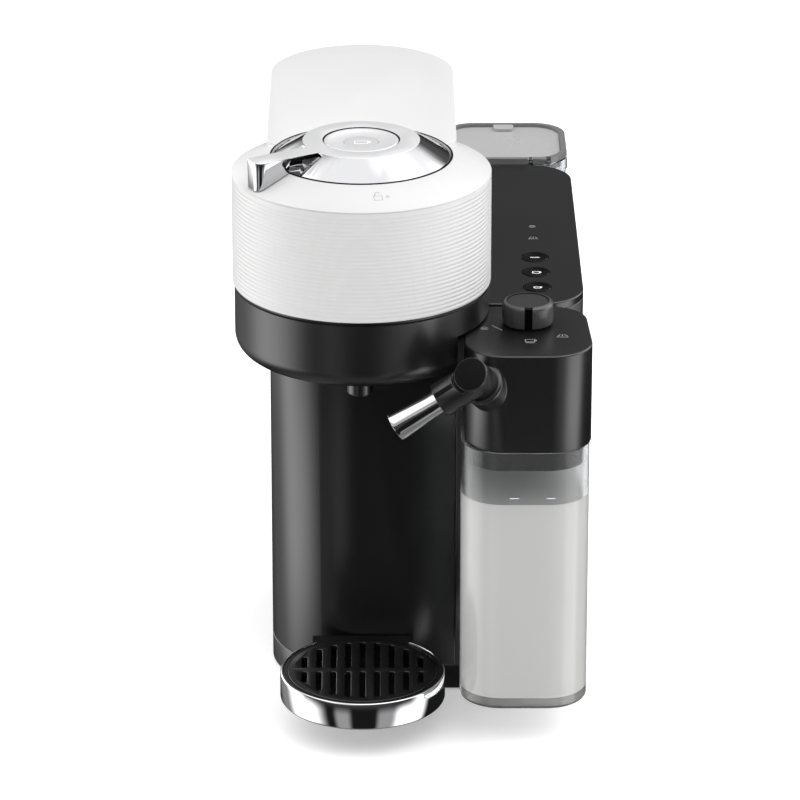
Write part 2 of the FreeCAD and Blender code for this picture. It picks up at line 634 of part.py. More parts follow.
def lever_seat():
    """Black dish under the lever, with the hollow post that the lever turns on."""
    dish = disc(GROOVE_R - 0.1, RIM_Z + 0.1, RIM_Z + 2.4)
    flange = ring(POST_R - 3, GROOVE_R - 2.3, RIM_Z - 8, RIM_Z + 0.2)
    post = ring(18.6, POST_R - 0.05, RIM_Z - 8, 324.2)
    floor = disc(19, RIM_Z - 8, RIM_Z - 5.6)
    seat = joined([dish, flange.common(ring(44, 60, 300, 312)), post, floor])
    return seat.cut(disc(18.6, RIM_Z - 5.6, 340))


def lever_blank():
    """Sloping ring of the lever, without its arm."""
    edge, bore = GROOVE_R - 0.9, BREW_BUTTON_R + 0.4
    return turned([(POST_R, RIM_Z + 2.8), (edge, RIM_Z + 2.8), (edge, CROWN_Z - 0.6),
                   (LEVER_FLAT_R + 0.5, LEVER_TOP - 0.15), (LEVER_FLAT_R, LEVER_TOP), (bore, LEVER_TOP),
                   (bore, 324.6), (POST_R, 324.6)])


def lever_arm():
    """Flat arm that ends in a grip, which hangs down to just above the sloping rim."""
    half = LEVER_WIDTH / 2
    start = GROOVE_R + 0.4
    tip = [(LEVER_TIP, -half, 2.8), (LEVER_TIP, half, 4.6)]
    plate = slab([(26, -half, 0)] + tip + [(26, half, 0)], LEVER_TOP - WALL, LEVER_TOP)
    grip = slab([(start, -half, 0)] + tip + [(start, half, 0)], RIM_Z - 2, LEVER_TOP)
    slope = (CROWN_Z - RIM_Z) / (HEAD_R - GROOVE_R)
    clear = 0.7
    below = turned([(0, 300), (HEAD_R + 10, 300), (HEAD_R + 10, RIM_Z + clear - 10 * slope),
                    (GROOVE_R, CROWN_Z + clear), (0, CROWN_Z + clear)])
    return joined([plate, grip.cut(below)])


def lever_ring():
    """Lever ring with a pocket around the root of its arm."""
    half = LEVER_WIDTH / 2 + 4.2
    pocket = box((LEVER_FLAT_R - 0.5, 60), (-half, half), (RIM_Z + 6, LEVER_TOP - 2.3))
    pocket = pocket.common(disc(GROOVE_R, 300, 340))
    top_room = box((LEVER_FLAT_R + 0.2, 60), (-half, half), (RIM_Z + 6, 340))
    ring_part = lever_blank().cut(pocket).cut(top_room)
    lever = joined([ring_part, lever_arm()])
    lever.rotate(V(0, 0, 0), UP, LEVER_ANGLE)
    return lever


def brew_button():
    """Dished round button in the middle of the lever."""
    top = LEVER_TOP - 0.2
    dish = [(9.4, top - 1.5), (14, top - 1.3), (18, top - 0.5), (19.4, top), (BREW_BUTTON_R, top - 0.5)]
    skirt = [(BREW_BUTTON_R, 325.6), (18.2, 325.6), (18.2, 318.0), (16.2, 318.0)]
    return turned(dish + skirt + [(16.2, BUTTON_UNDERSIDE), (9.4, BUTTON_UNDERSIDE)])


def button_window():
    top = LEVER_TOP - 0.2
    return turned([(0, top - 1.6), (7, top - 1.5), (9.35, top - 1.25), (9.35, BUTTON_UNDERSIDE),
                   (0, BUTTON_UNDERSIDE)])


def button_bellows():
    """Rubber bellows that lifts the brew button."""
    low, high, folds = RIM_Z - 5.6, BUTTON_UNDERSIDE - 0.1, 6
    step = (high - low) / folds
    outside = []
    for i in range(folds):
        outside += [(7.2, low + i * step), (8.6, low + (i + 0.5) * step)]
    outside.append((7.2, high))
    inside = [(r - 1.2, z) for r, z in reversed(outside)]
    return turned(outside + inside)


# ---- water side -----------------------------------------------------------------------

TANK_PLAN = rectangle(TANK_X, TANK_Y, TANK_CORNER_R)


def water_tank():
    """Clear tank with a thick rim, hinge ears and a valve hole in its floor."""
    body = slab(inset(TANK_PLAN, 0.8), TANK_Z[0], TANK_Z[1])
    body = rounded(body, 4, flat_at(TANK_Z[0]))
    body = joined([body, slab(TANK_PLAN, TANK_Z[1] - 7, TANK_Z[1])])
    body = body.cut(slab(inset(TANK_PLAN, TANK_WALL), TANK_Z[0] + 2.6, 300))
    ears = [tank_hinge_lug(x, TANK_Y[0] + TANK_WALL) for x in tank_ear_ranges()]
    return joined([body] + ears).cut(disc(6.1, 0, 40, TANK_VALVE_AT))


def tank_hinge_lug(x, rear_y):
    """Round lug on the tank lid's hinge axis, on a foot that reaches down to the tank's rim."""
    y, z = TANK_HINGE
    foot = box(x, (y - TANK_HINGE_R, rear_y), (TANK_Z[1] - 0.5, z))
    return rod(V(x[0], y, z), V(x[1], y, z), TANK_HINGE_R).fuse(foot)


def tank_ear_ranges():
    """Where the tank's ears stand along X, one on each side of every knuckle of the lid."""
    ranges = []
    for low, high in TANK_KNUCKLES:
        ranges += [(low - GAP - 2, low - GAP), (high + GAP, high + GAP + 2)]
    return ranges


def tank_valve():
    low = TANK_Z[0]
    body = [(0, low - 3.4), (5.0, low - 3.4), (6.0, low - 2.0), (6.0, low + 2.6)]
    head = [(9.0, low + 2.6), (9.0, low + 4.2), (5.0, low + 9.0), (0, low + 9.0)]
    return turned(body + head, TANK_VALVE_AT)


def tank_socket():
    """Cup in the base that the tank's valve drops into, with its outlet to the pump."""
    cup = ring(6.6, 10.5, PLINTH_BOTTOM + 3, TANK_Z[0] - 0.8, TANK_VALVE_AT)
    floor = disc(10.5, PLINTH_BOTTOM + 3, PLINTH_BOTTOM + 5, TANK_VALVE_AT)
    across = (TANK_X[0] + WALL + 0.2, TANK_X[1] - WALL - 0.4)
    along = (BLOCK_REAR + 1, TANK_Y[1] - WALL - 0.2)
    deck = slab(rectangle(across, along, 17), PLINTH_TOP - 3, PLINTH_TOP - 0.5)
    deck = deck.cut(disc(8, 0, 40, TANK_VALVE_AT))
    spout = rod(V(84, 252.5, 9.5), V(84, 234, 9.5), 3.0)
    return joined([cup, floor, deck, spout])


def tank_lid():
    """Hinged cover of the tank, with a pull tab at its rear and hinge knuckles at its front."""
    z = TANK_Z[1]
    plate = slab(inset(TANK_PLAN, 0.6), z + 0.5, z + 2.3)
    rim = shell(inset(TANK_PLAN, 0.6), z + 0.5, z + TANK_LID_T, 3.2)
    skirt = shell(inset(TANK_PLAN, TANK_WALL + 0.4), z - 4, z + 0.6, 1.6)
    tab = slab(rectangle((78, 90), (TANK_Y[1] - 13, TANK_Y[1] - 3), 3), z + 2.2, z + TANK_LID_T)
    lid = joined([plate, rim, skirt, tab])
    for low, high in tank_ear_ranges():
        room = box((low - GAP, high + GAP), (TANK_Y[0], TANK_HINGE[0] + 2.2), (z + 0.4, z + 10))
        lid = lid.cut(room)
    y, z = TANK_HINGE
    knuckles = [rod(V(low, y, z), V(high, y, z), TANK_HINGE_R) for low, high in TANK_KNUCKLES]
    return joined([lid] + knuckles)


def flow_meter():
    body = disc(13, PLINTH_BOTTOM + 3, 34, (84, 214))
    ports = rod(V(84, 233.8, 9.5), V(84, 220, 9.5), 3.0)
    return joined([body, ports, rod(V(84, 214, 26), V(84, 196, 26), 3.0)])


def water_pump():
    """Vibration pump lying front to rear, with its coil block."""
    body = rod(V(84, 120, 45), V(84, 195.5, 45), 15)
    coil = box((62, 106), (138, 178), (24, 66))
    nose = rod(V(84, 106, 45), V(84, 120, 45), 5)
    inlet = rod(V(84, 195.4, 26), V(84, 193, 26), 3)
    return joined([body, coil, nose, inlet.fuse(box((80, 88), (185, 195.5), (26, 40)))])


def pump_mount():
    """Rubber saddle between pump and base."""
    return box((66, 102), (142, 174), (PLINTH_BOTTOM + 3, 24))


def thermoblock():
    """Brewing heater that stands behind the front wall of the column."""
    block = box((-34, 18), (30, 62), (60, 168))
    ribs = [box((-36, 20), (28, 64), (z, z + 4)) for z in range(68, 164, 16)]
    return joined([block] + ribs)


def heater_stands():
    """Sheet stands of both heaters."""
    foot_z = (PLINTH_BOTTOM + 3, 9)
    feet = [box((-34, 18), (34, 58), foot_z), box((68, 111), (40, 80), foot_z)]
    legs = [box((x, x + 3), (36, 56), (8, 60)) for x in (-30, 11)]
    legs += [box((x, x + 4), (50, 70), (8, 60)) for x in (76, 99)]
    return Part.makeCompound([joined([feet[0]] + legs[:2]), joined([feet[1]] + legs[2:])])


def steam_heater():
    """Second heater, in the block, for steaming the milk."""
    at = (DOCK_AT[0], 60)
    return joined([disc(22, 60, 150, at), ring(20, 25, 60, 66, at), ring(20, 25, 144, 150, at)])


def steam_pipe():
    """From the steam heater up to the nozzle."""
    x, z = DOCK_AT
    return hose([V(x, 60, 150), V(x, 60, z), V(x, 20, z)], 2.8, 10)


def pump_hose():
    """From the pump's nose to the brewing heater."""
    points = [V(84, 106, 45), V(84, 90, 45), V(50, 90, 62), V(24, 84, 100), V(-8, 76, 120), V(-8, 64, 120)]
    return hose(points, 3.0, 6)


def brew_hose():
    """From the brewing heater up and along the neck to a hollow hinge ear."""
    z = REAR_DECK_TOP - 5.05
    points = [V(-20, 46, 168), V(-20, 46, 190), V(-43, 64, 205), V(-38.3, 104, z), V(-38.3, 171, z),
              V(-31, 178.6, z), V(-15, 178.6, z), V(-15, 186, z)]
    return hose(points, 2.0, 3)


def milk_dock():
    """Socket in the front of the block with the steam nozzle for the milk lid."""
    x, z = DOCK_AT
    cup = rod(V(x, FRONT_Y + 0.3, z), V(x, 20, z), 9.0)
    nozzle = rod(V(x, -8, z), V(x, FRONT_Y + 1, z), 4.5)
    return joined([cup, nozzle]).cut(rod(V(x, -9, z), V(x, 21, z), 2.0))


# ---- cup support ----------------------------------------------------------------------

def cup_ring():
    """Bright band around the cup support."""
    low, high = CUP_RING_Z
    outer = CUP_RING_R
    return turned([(outer - 1.8, low), (outer - 0.6, low), (outer, low + 0.8), (outer, high - 0.9),
                   (outer - 0.6, high), (outer - 1.8, high)], CUP_AT).cut(tray_block(0.1))


def tray_block(grow):
    """Block between the round tray and the column, a little larger by grow."""
    half = TONGUE_HALF + 6 + grow
    height = (CUP_RING_Z[0] - 1, CUP_RING_Z[1] + 1)
    return box((-half, half), (CUP_AT[1] + CUP_RING_R - 10, FRONT_Y - 0.8), height)


def drip_tray():
    """Black tray inside the band, with the tongue that plugs into the column."""
    outer = CUP_RING_R - 1.85
    inner = outer - 2
    low, high = CUP_RING_Z[0] + 0.5, CUP_RING_Z[1] - 0.6
    ledge = CUP_RING_Z[1] - GRID_T - GAP - 0.1
    wall = [(0, low), (outer, low), (outer, high), (inner, high)]
    seat = [(inner, ledge), (inner - 2.3, ledge), (inner - 2.3, ledge - 1.2), (inner, ledge - 3.5)]
    tray = turned(wall + seat + [(inner, low + 2), (0, low + 2)], CUP_AT)
    arm = box((-TONGUE_HALF, TONGUE_HALF), (CUP_AT[1] + outer - 6, 16), TONGUE_Z)
    block = tray_block(0).common(box((-60, 60), (-60, 60), (low, high)))
    inside = disc(outer - 1, 0, 60, CUP_AT)
    return joined([tray, arm.cut(inside), block.cut(inside)])


def drip_grid():
    """Round grid that the cup stands on; it rests on the tray's ledge."""
    radius = CUP_RING_R - 4.2
    low, high = CUP_RING_Z[1] - GRID_T - GAP, CUP_RING_Z[1] - GAP
    grid = disc(radius, low, high, CUP_AT)
    for i in range(-4, 5):
        half = math.sqrt(36 ** 2 - (8 * i) ** 2)
        x = CUP_AT[0] + 8 * i
        for part in ((-half, -2.5), (2.5, half)):
            if part[1] - part[0] > 8:
                slot = rectangle((x - 1.6, x + 1.6), (CUP_AT[1] + part[0], CUP_AT[1] + part[1]), 1.55)
                grid = grid.cut(slab(slot, low - 1, high + 1))
    return grid


# ---- milk jug -------------------------------------------------------------------------

JUG_PLAN = [(JUG_X[0], JUG_Y[0], JUG_CORNER_R), (JUG_X[1], JUG_Y[0], JUG_CORNER_R),
            (JUG_X[1] - 3.4, JUG_Y[1], 20), (JUG_X[0] + 1.6, JUG_Y[1], 8)]
MILK_LID_PLAN = [(MILK_LID_X[0], JUG_Y[0], JUG_CORNER_R), (MILK_LID_X[1], JUG_Y[0], JUG_CORNER_R),
                 (MILK_LID_X[1] - 3.4, JUG_Y[1], 20), (MILK_LID_X[0] + 1.6, JUG_Y[1], 8)]


def milk_jug():
    """Clear jug with a thick floor."""
    body = slab(JUG_PLAN, *JUG_Z)
    body = rounded(body, 2.4, flat_at(JUG_Z[0]))
    return body.cut(slab(inset(JUG_PLAN, JUG_WALL), JUG_Z[0] + JUG_BASE, 300))


def milk_lid():
    """Black lid of the jug: hollow, with the sockets for knob, spout and steam nozzle."""
    low, high = MILK_LID_Z
    whole = rounded(slab(MILK_LID_PLAN, low, high), 1.0, flat_at(high))
    inner = slab(inset(MILK_LID_PLAN, 2.6), low + 6, high - 3)
    x, z = DOCK_AT
    rail = box((x - 13, x + 13), (-16, JUG_Y[1] - 1), (z - 13, z + 13))
    boss_face = SPOUT_PIVOT - pivot_axis() * BOSS_END
    boss = rounded(along_pivot(-30, -BOSS_END, BOSS_R), 2.0,
                   lambda edge: edge.CenterOfMass.distanceToPoint(boss_face) < 1)
    lid = joined([whole.cut(inner), rail, boss.cut(box((-200, 200), (-50, 50), (0, 400)))])
    lid = lid.cut(rod(V(x, -10, z), V(x, 20, z), 4.9)).cut(disc(4.1, high - 4, high + 1, KNOB_AT))
    lid = lid.cut(disc(3.3, low - 1, low + 7, SUCTION_AT))
    return lid.cut(along_pivot(-24, 0, 5.05)).cut(along_pivot(-BOSS_END, 30, SLEEVE_R + GAP))


def pivot_axis():
    """Direction of the spout's pivot, from the lid towards the knuckle's flat end."""
    yaw, tilt = math.radians(SPOUT_YAW), math.radians(SPOUT_TILT)
    return V(-math.sin(yaw) * math.cos(tilt), -math.cos(yaw) * math.cos(tilt), math.sin(tilt))


def spout_axis():
    """Direction from the pivot to the spout's mouth, square to the pivot axis."""
    yaw, fall = math.radians(SPOUT_YAW), math.radians(SPOUT_FALL)
    level = V(-math.cos(yaw), math.sin(yaw), 0)
    return level * math.cos(fall) + pivot_axis().cross(level) * math.sin(fall)


def along_pivot(start, end, radius):
    axis = pivot_axis()
    return rod(SPOUT_PIVOT + axis * start, SPOUT_PIVOT + axis * end, radius)


def spout_knuckle():
    """Swivel of the spout: journal, flat round end and the black sleeve around it."""
    down = spout_axis()
    journal = along_pivot(-23, 0, 5.0)
    drum = along_pivot(GAP - BOSS_END, CAP_END, KNUCKLE_R)
    sleeve = rod(SPOUT_PIVOT, SPOUT_PIVOT + down * SLEEVE_LENGTH, SLEEVE_R)
    sleeve = sleeve.cut(along_pivot(-40, GAP - BOSS_END, 40))
    sleeve = sleeve.cut(along_pivot(CAP_END - COLLAR_DEPTH, CAP_END + 10, COLLAR_R))
    solid = joined([journal, drum, sleeve])
    solid = solid.cut(rod(SPOUT_PIVOT + down * (TUBE_START - 6), SPOUT_PIVOT + down * 60, TUBE_R + 0.1))
    solid = solid.cut(rod(SPOUT_PIVOT, SPOUT_PIVOT + down * TUBE_START, MILK_CHANNEL_R))
    return solid.cut(along_pivot(-24, 0, MILK_CHANNEL_R))


def spout_tube():
    """Bright tube that slides in the sleeve and widens a little to its mouth."""
    down = spout_axis()
    flare = SLEEVE_LENGTH + 6
    neck = SPOUT_PIVOT + down * flare
    tube = rod(SPOUT_PIVOT + down * TUBE_START, neck, TUBE_R)
    mouth = Part.makeCone(TUBE_R, TUBE_MOUTH_R, TUBE_LENGTH - flare, neck, down)
    bore = rod(SPOUT_PIVOT + down * (TUBE_START - 1), neck, TUBE_R - 1.1)
    widening = Part.makeCone(TUBE_R - 1.1, TUBE_MOUTH_R - 0.9, TUBE_LENGTH - flare, neck, down)
    return joined([tube, mouth]).cut(bore).cut(widening)


def lid_seal():
    """Plug under the lid that closes the jug."""
    low = MILK_LID_Z[0]
    plug = slab(inset(JUG_PLAN, JUG_WALL + 0.6), low - 11, low)
    plug = plug.cut(slab(inset(JUG_PLAN, JUG_WALL + 3.2), low - 12, low - 2.5))
    return plug.cut(disc(3.3, 100, 200, SUCTION_AT))


def suction_tube():
    return ring(2.2, 3.25, JUG_Z[0] + JUG_BASE + 2, MILK_LID_Z[0] + 5.8, SUCTION_AT)


def foam_knob():
    """Round knob with a slot as its pointer and a stem through the lid."""
    low = MILK_LID_Z[1] + 0.4
    high = low + KNOB_H
    foot = [(0, low), (KNOB_R - 1.4, low), (KNOB_R - 0.3, low + 1.0), (KNOB_R, low + 5)]
    crown = [(KNOB_R - 0.1, high - 2.0), (KNOB_R - 0.6, high - 0.7), (KNOB_R - 1.8, high), (0, high)]
    body = turned(foot + crown, KNOB_AT)
    x, y = KNOB_AT
    body = body.cut(box((x - 1.8, x + 1.8), (y - 20, y - KNOB_CAP_R + 1), (low - 1, high + 1)))
    body = body.cut(disc(KNOB_CAP_R, high - 1.6, high + 1, KNOB_AT))
    stem = disc(4.0, MILK_LID_Z[1] - 9, low + 0.1, KNOB_AT)
    return joined([body, stem])


def knob_cap():
    high = MILK_LID_Z[1] + 0.4 + KNOB_H
    return disc(KNOB_CAP_R - 0.2, high - 1.6, high - 0.4, KNOB_AT)


# ---- export ---------------------------------------------------------------------------

PIECES = {
    "base_plate": base_plate, "rubber_feet": rubber_feet, "power_inlet": power_inlet,
    "column_shell": column_shell, "side_housing": side_housing, "control_panel": control_panel,
    "status_lights": status_lights, "control_board": control_board,
    "chassis_frame": chassis_frame, "head_bowl": head_bowl, "holder_bearing": holder_bearing,
    "capsule_holder": capsule_holder, "coffee_collector": coffee_collector, "coffee_outlet": coffee_outlet,
    "spin_motor": spin_motor, "motor_pulley": motor_pulley, "drive_belt": drive_belt,
    "neck_deck": neck_deck, "capsule_container": capsule_container,
    "top_cover": top_cover, "ribbed_band": ribbed_band, "lid_frame": lid_frame, "hinge_pin": hinge_pin,
    "clamp_bearing": clamp_bearing, "clamp_plate": clamp_plate, "piercing_needle": piercing_needle,
    "lever_seat": lever_seat, "lever_ring": lever_ring, "brew_button": brew_button,
    "button_window": button_window, "button_bellows": button_bellows,
    "water_tank": water_tank, "tank_valve": tank_valve, "tank_socket": tank_socket, "tank_lid": tank_lid,
    "flow_meter": flow_meter, "water_pump": water_pump, "pump_mount": pump_mount,
    "thermoblock": thermoblock, "heater_stands": heater_stands, "steam_heater": steam_heater,
    "steam_pipe": steam_pipe, "pump_hose": pump_hose, "brew_hose": brew_hose, "lid_hose": lid_hose,
    "milk_dock": milk_dock, "cup_ring": cup_ring, "drip_tray": drip_tray, "drip_grid": drip_grid,
    "milk_jug": milk_jug, "milk_lid": milk_lid, "lid_seal": lid_seal, "suction_tube": suction_tube,
    "foam_knob": foam_knob, "knob_cap": knob_cap, "spout_knuckle": spout_knuckle, "spout_tube": spout_tube,
}


def export():
    os.makedirs("parts", exist_ok=True)
    shapes = {name: make() for name, make in PIECES.items()}
    for name, y in RECIPE_BUTTONS.items():
        shapes[name] = recipe_button(y)
    for name, shape in shapes.items():
        shape.translate(FOOTPRINT_MID * -1)
        shape.exportStep(f"parts/{name}.step")
        print(f"{name:20s} solids {len(shape.Solids)} volume {shape.Volume / 1000:8.2f} cm3")


export()
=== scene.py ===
import math

import bmesh
import bpy
from mathutils import Matrix, Vector


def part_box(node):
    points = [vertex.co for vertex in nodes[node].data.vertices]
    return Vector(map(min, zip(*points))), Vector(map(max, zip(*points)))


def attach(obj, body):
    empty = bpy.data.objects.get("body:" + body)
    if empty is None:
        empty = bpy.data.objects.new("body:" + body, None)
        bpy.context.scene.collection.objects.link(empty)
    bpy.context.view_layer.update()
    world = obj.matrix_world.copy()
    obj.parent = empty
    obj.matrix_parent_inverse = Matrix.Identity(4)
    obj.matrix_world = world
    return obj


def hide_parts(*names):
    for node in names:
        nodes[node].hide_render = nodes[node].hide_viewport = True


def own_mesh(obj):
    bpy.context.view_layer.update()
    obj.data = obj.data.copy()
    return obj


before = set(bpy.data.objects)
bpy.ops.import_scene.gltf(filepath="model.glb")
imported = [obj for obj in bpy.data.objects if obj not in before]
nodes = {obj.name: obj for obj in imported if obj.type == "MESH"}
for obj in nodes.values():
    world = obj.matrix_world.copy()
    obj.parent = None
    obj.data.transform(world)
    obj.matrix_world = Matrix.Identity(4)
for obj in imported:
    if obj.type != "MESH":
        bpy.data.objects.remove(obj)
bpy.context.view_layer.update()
mm = 0.001
print("frame loaded:", len(nodes), "nodes")


# shader groups: each is built once here and placed in the materials with its own values
def newGroup(name, inputs, outputs):
    group = bpy.data.node_groups.new(name, "ShaderNodeTree")
    for socketName, kind, value in inputs:
        socket = group.interface.new_socket(socketName, in_out="INPUT", socket_type=kind)
        socket.default_value = value
    for socketName, kind in outputs:
        group.interface.new_socket(socketName, in_out="OUTPUT", socket_type=kind)
    start = group.nodes.new("NodeGroupInput")
    end = group.nodes.new("NodeGroupOutput")
    return group, start, end


def addNode(tree, kind, **values):
    node = tree.nodes.new(kind)
    for key, value in values.items():
        setattr(node, key, value)
    return node


def mathNode(tree, operation, first, second, third=None):
    node = addNode(tree, "ShaderNodeMath", operation=operation)
    for index, value in enumerate((first, second, third)):
        if value is None:
            continue
        if hasattr(value, "is_output"):
            tree.links.new(value, node.inputs[index])
        else:
            node.inputs[index].default_value = value
    return node.outputs[0]


# moulded skin of plastic: fine grain as height, slow drift of sheen and tone
def makeMouldedSkin():
    group, start, end = newGroup(
        "mouldedSkin",
        [("Color", "NodeSocketColor", (0.5, 0.5, 0.5, 1)), ("Grain Scale", "NodeSocketFloat", 1800.0),
         ("Drift Scale", "NodeSocketFloat", 14.0), ("Tone Drift", "NodeSocketFloat", 0.06),
         ("Roughness", "NodeSocketFloat", 0.4), ("Sheen Drift", "NodeSocketFloat", 0.06)],
        [("Color", "NodeSocketColor"), ("Roughness", "NodeSocketFloat"), ("Height", "NodeSocketFloat")])
    link = group.links.new
    coords = addNode(group, "ShaderNodeTexCoord").outputs["Object"]
    grain = addNode(group, "ShaderNodeTexNoise")
    grain.inputs["Detail"].default_value = 2.0
    drift = addNode(group, "ShaderNodeTexNoise")
    drift.inputs["Detail"].default_value = 3.0
    link(coords, grain.inputs["Vector"])
    link(coords, drift.inputs["Vector"])
    link(start.outputs["Grain Scale"], grain.inputs["Scale"])
    link(start.outputs["Drift Scale"], drift.inputs["Scale"])
    centred = mathNode(group, "SUBTRACT", drift.outputs["Fac"], 0.5)
    tone = mathNode(group, "MULTIPLY_ADD", centred, start.outputs["Tone Drift"], 1.0)
    scaled = addNode(group, "ShaderNodeVectorMath", operation="SCALE")
    link(start.outputs["Color"], scaled.inputs[0])
    link(tone, scaled.inputs["Scale"])
    link(scaled.outputs[0], end.inputs["Color"])
    link(mathNode(group, "MULTIPLY_ADD", centred, start.outputs["Sheen Drift"], start.outputs["Roughness"]),
         end.inputs["Roughness"])
    link(grain.outputs["Fac"], end.inputs["Height"])
    return group


# machining lines: noise wound round a centre
def makeMachinedLines():
    group, start, end = newGroup(
        "machinedLines",
        [("Centre", "NodeSocketVector", (0, 0, 0)), ("Ring Scale", "NodeSocketFloat", 2500.0),
         ("Roughness", "NodeSocketFloat", 0.25), ("Line Spread", "NodeSocketFloat", 0.15)],
        [("Roughness", "NodeSocketFloat"), ("Height", "NodeSocketFloat")])
    link = group.links.new
    coords = addNode(group, "ShaderNodeTexCoord").outputs["Object"]
    shifted = addNode(group, "ShaderNodeVectorMath", operation="SUBTRACT")
    link(coords, shifted.inputs[0])
    link(start.outputs["Centre"], shifted.inputs[1])
    flat = addNode(group, "ShaderNodeVectorMath", operation="MULTIPLY")
    flat.inputs[1].default_value = (1, 1, 0)
    link(shifted.outputs[0], flat.inputs[0])
    radius = addNode(group, "ShaderNodeVectorMath", operation="LENGTH")
    link(flat.outputs[0], radius.inputs[0])
    lines = addNode(group, "ShaderNodeTexNoise", noise_dimensions="1D")
    lines.inputs["Detail"].default_value = 3.0
    link(radius.outputs["Value"], lines.inputs["W"])
    link(start.outputs["Ring Scale"], lines.inputs["Scale"])
    centred = mathNode(group, "SUBTRACT", lines.outputs["Fac"], 0.5)
    link(mathNode(group, "MULTIPLY_ADD", centred, start.outputs["Line Spread"], start.outputs["Roughness"]),
         end.inputs["Roughness"])
    link(lines.outputs["Fac"], end.inputs["Height"])
    return group


# touched gloss: faint cloudy film and fine dust on polished surfaces
def makeHandledGloss():
    group, start, end = newGroup(
        "handledGloss",
        [("Roughness", "NodeSocketFloat", 0.1), ("Film", "NodeSocketFloat", 0.06),
         ("Cloud Scale", "NodeSocketFloat", 45.0), ("Dust", "NodeSocketFloat", 0.1)],
        [("Roughness", "NodeSocketFloat"), ("Height", "NodeSocketFloat")])
    link = group.links.new
    coords = addNode(group, "ShaderNodeTexCoord").outputs["Object"]
    cloud = addNode(group, "ShaderNodeTexNoise")
    cloud.inputs["Detail"].default_value = 4.0
    specks = addNode(group, "ShaderNodeTexVoronoi")
    specks.inputs["Scale"].default_value = 900.0
    link(coords, cloud.inputs["Vector"])
    link(coords, specks.inputs["Vector"])
    link(start.outputs["Cloud Scale"], cloud.inputs["Scale"])
    speckMask = mathNode(group, "LESS_THAN", specks.outputs["Distance"], 0.07)
    film = mathNode(group, "MULTIPLY_ADD", cloud.outputs["Fac"], start.outputs["Film"],
                    start.outputs["Roughness"])
    link(mathNode(group, "MULTIPLY_ADD", speckMask, start.outputs["Dust"], film), end.inputs["Roughness"])
    link(cloud.outputs["Fac"], end.inputs["Height"])
    return group


mouldedSkin = makeMouldedSkin()
machinedLines = makeMachinedLines()
handledGloss = makeHandledGloss()


# materials: every finish is made by one of the functions below
def newMaterial(name):
    material = bpy.data.materials.new(name)
    material.use_nodes = True
    tree = material.node_tree
    return material, tree, tree.nodes["Principled BSDF"]


def placeGroup(tree, group, **values):
    node = addNode(tree, "ShaderNodeGroup", node_tree=group)
    for key, value in values.items():
        node.inputs[key.replace("_", " ")].default_value = value
    return node


def bumpFrom(tree, height, distance, shader):
    bump = addNode(tree, "ShaderNodeBump")
    bump.inputs["Strength"].default_value = 1.0
    bump.inputs["Distance"].default_value = distance
    tree.links.new(height, bump.inputs["Height"])
    tree.links.new(bump.outputs["Normal"], shader.inputs["Normal"])


def setShader(shader, **values):
    for key, value in values.items():
        shader.inputs[key.replace("_", " ")].default_value = value


relief = {"film": 0.00002, "turnedLines": 0.000004}  # heights in metres


def plastic(name, color, roughness, grain=0.00001, grainScale=1800.0, toneDrift=0.06, **extra):
    material, tree, shader = newMaterial(name)
    skin = placeGroup(tree, mouldedSkin, Color=(*color, 1), Roughness=roughness, Grain_Scale=grainScale,
                      Tone_Drift=toneDrift)
    tree.links.new(skin.outputs["Color"], shader.inputs["Base Color"])
    tree.links.new(skin.outputs["Roughness"], shader.inputs["Roughness"])
    bumpFrom(tree, skin.outputs["Height"], grain, shader)
    setShader(shader, **extra)
    return material


def polished(name, color, roughness, film=0.05, dust=0.08, **extra):
    material, tree, shader = newMaterial(name)
    gloss = placeGroup(tree, handledGloss, Roughness=roughness, Film=film, Dust=dust)
    tree.links.new(gloss.outputs["Roughness"], shader.inputs["Roughness"])
    bumpFrom(tree, gloss.outputs["Height"], relief["film"], shader)
    setShader(shader, Base_Color=(*color, 1), **extra)
    return material


def turnedMetal(name, color, roughness, centre, spread=0.15, metallic=1.0):
    material, tree, shader = newMaterial(name)
    lines = placeGroup(tree, machinedLines, Centre=centre, Roughness=roughness, Line_Spread=spread)
    tree.links.new(lines.outputs["Roughness"], shader.inputs["Roughness"])
    bumpFrom(tree, lines.outputs["Height"], relief["turnedLines"], shader)
    setShader(shader, Base_Color=(*color, 1), Metallic=metallic)
    return material


def middle(node):
    low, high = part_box(node)
    return (Vector(low) + Vector(high)) / 2


# 1 on the band along a rounded rectangle's edge, 0 inside it
def edgeBand(tree, node, corner, width):
    low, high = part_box(node)
    centre = middle(node)
    place = addNode(tree, "ShaderNodeSeparateXYZ")
    tree.links.new(addNode(tree, "ShaderNodeTexCoord").outputs["Object"], place.inputs[0])
    past = []
    for axis, label in enumerate("XY"):
        offset = mathNode(tree, "SUBTRACT", place.outputs[label], centre[axis])
        distance = mathNode(tree, "ABSOLUTE", offset, None)
        inner = (high[axis] - low[axis]) / 2 - corner
        past.append(mathNode(tree, "MAXIMUM", mathNode(tree, "SUBTRACT", distance, inner), 0.0))
    squares = mathNode(tree, "MULTIPLY_ADD", past[0], past[0], mathNode(tree, "MULTIPLY", past[1], past[1]))
    return mathNode(tree, "GREATER_THAN", mathNode(tree, "SQRT", squares, None), corner - width)


head = middle("capsule_holder")

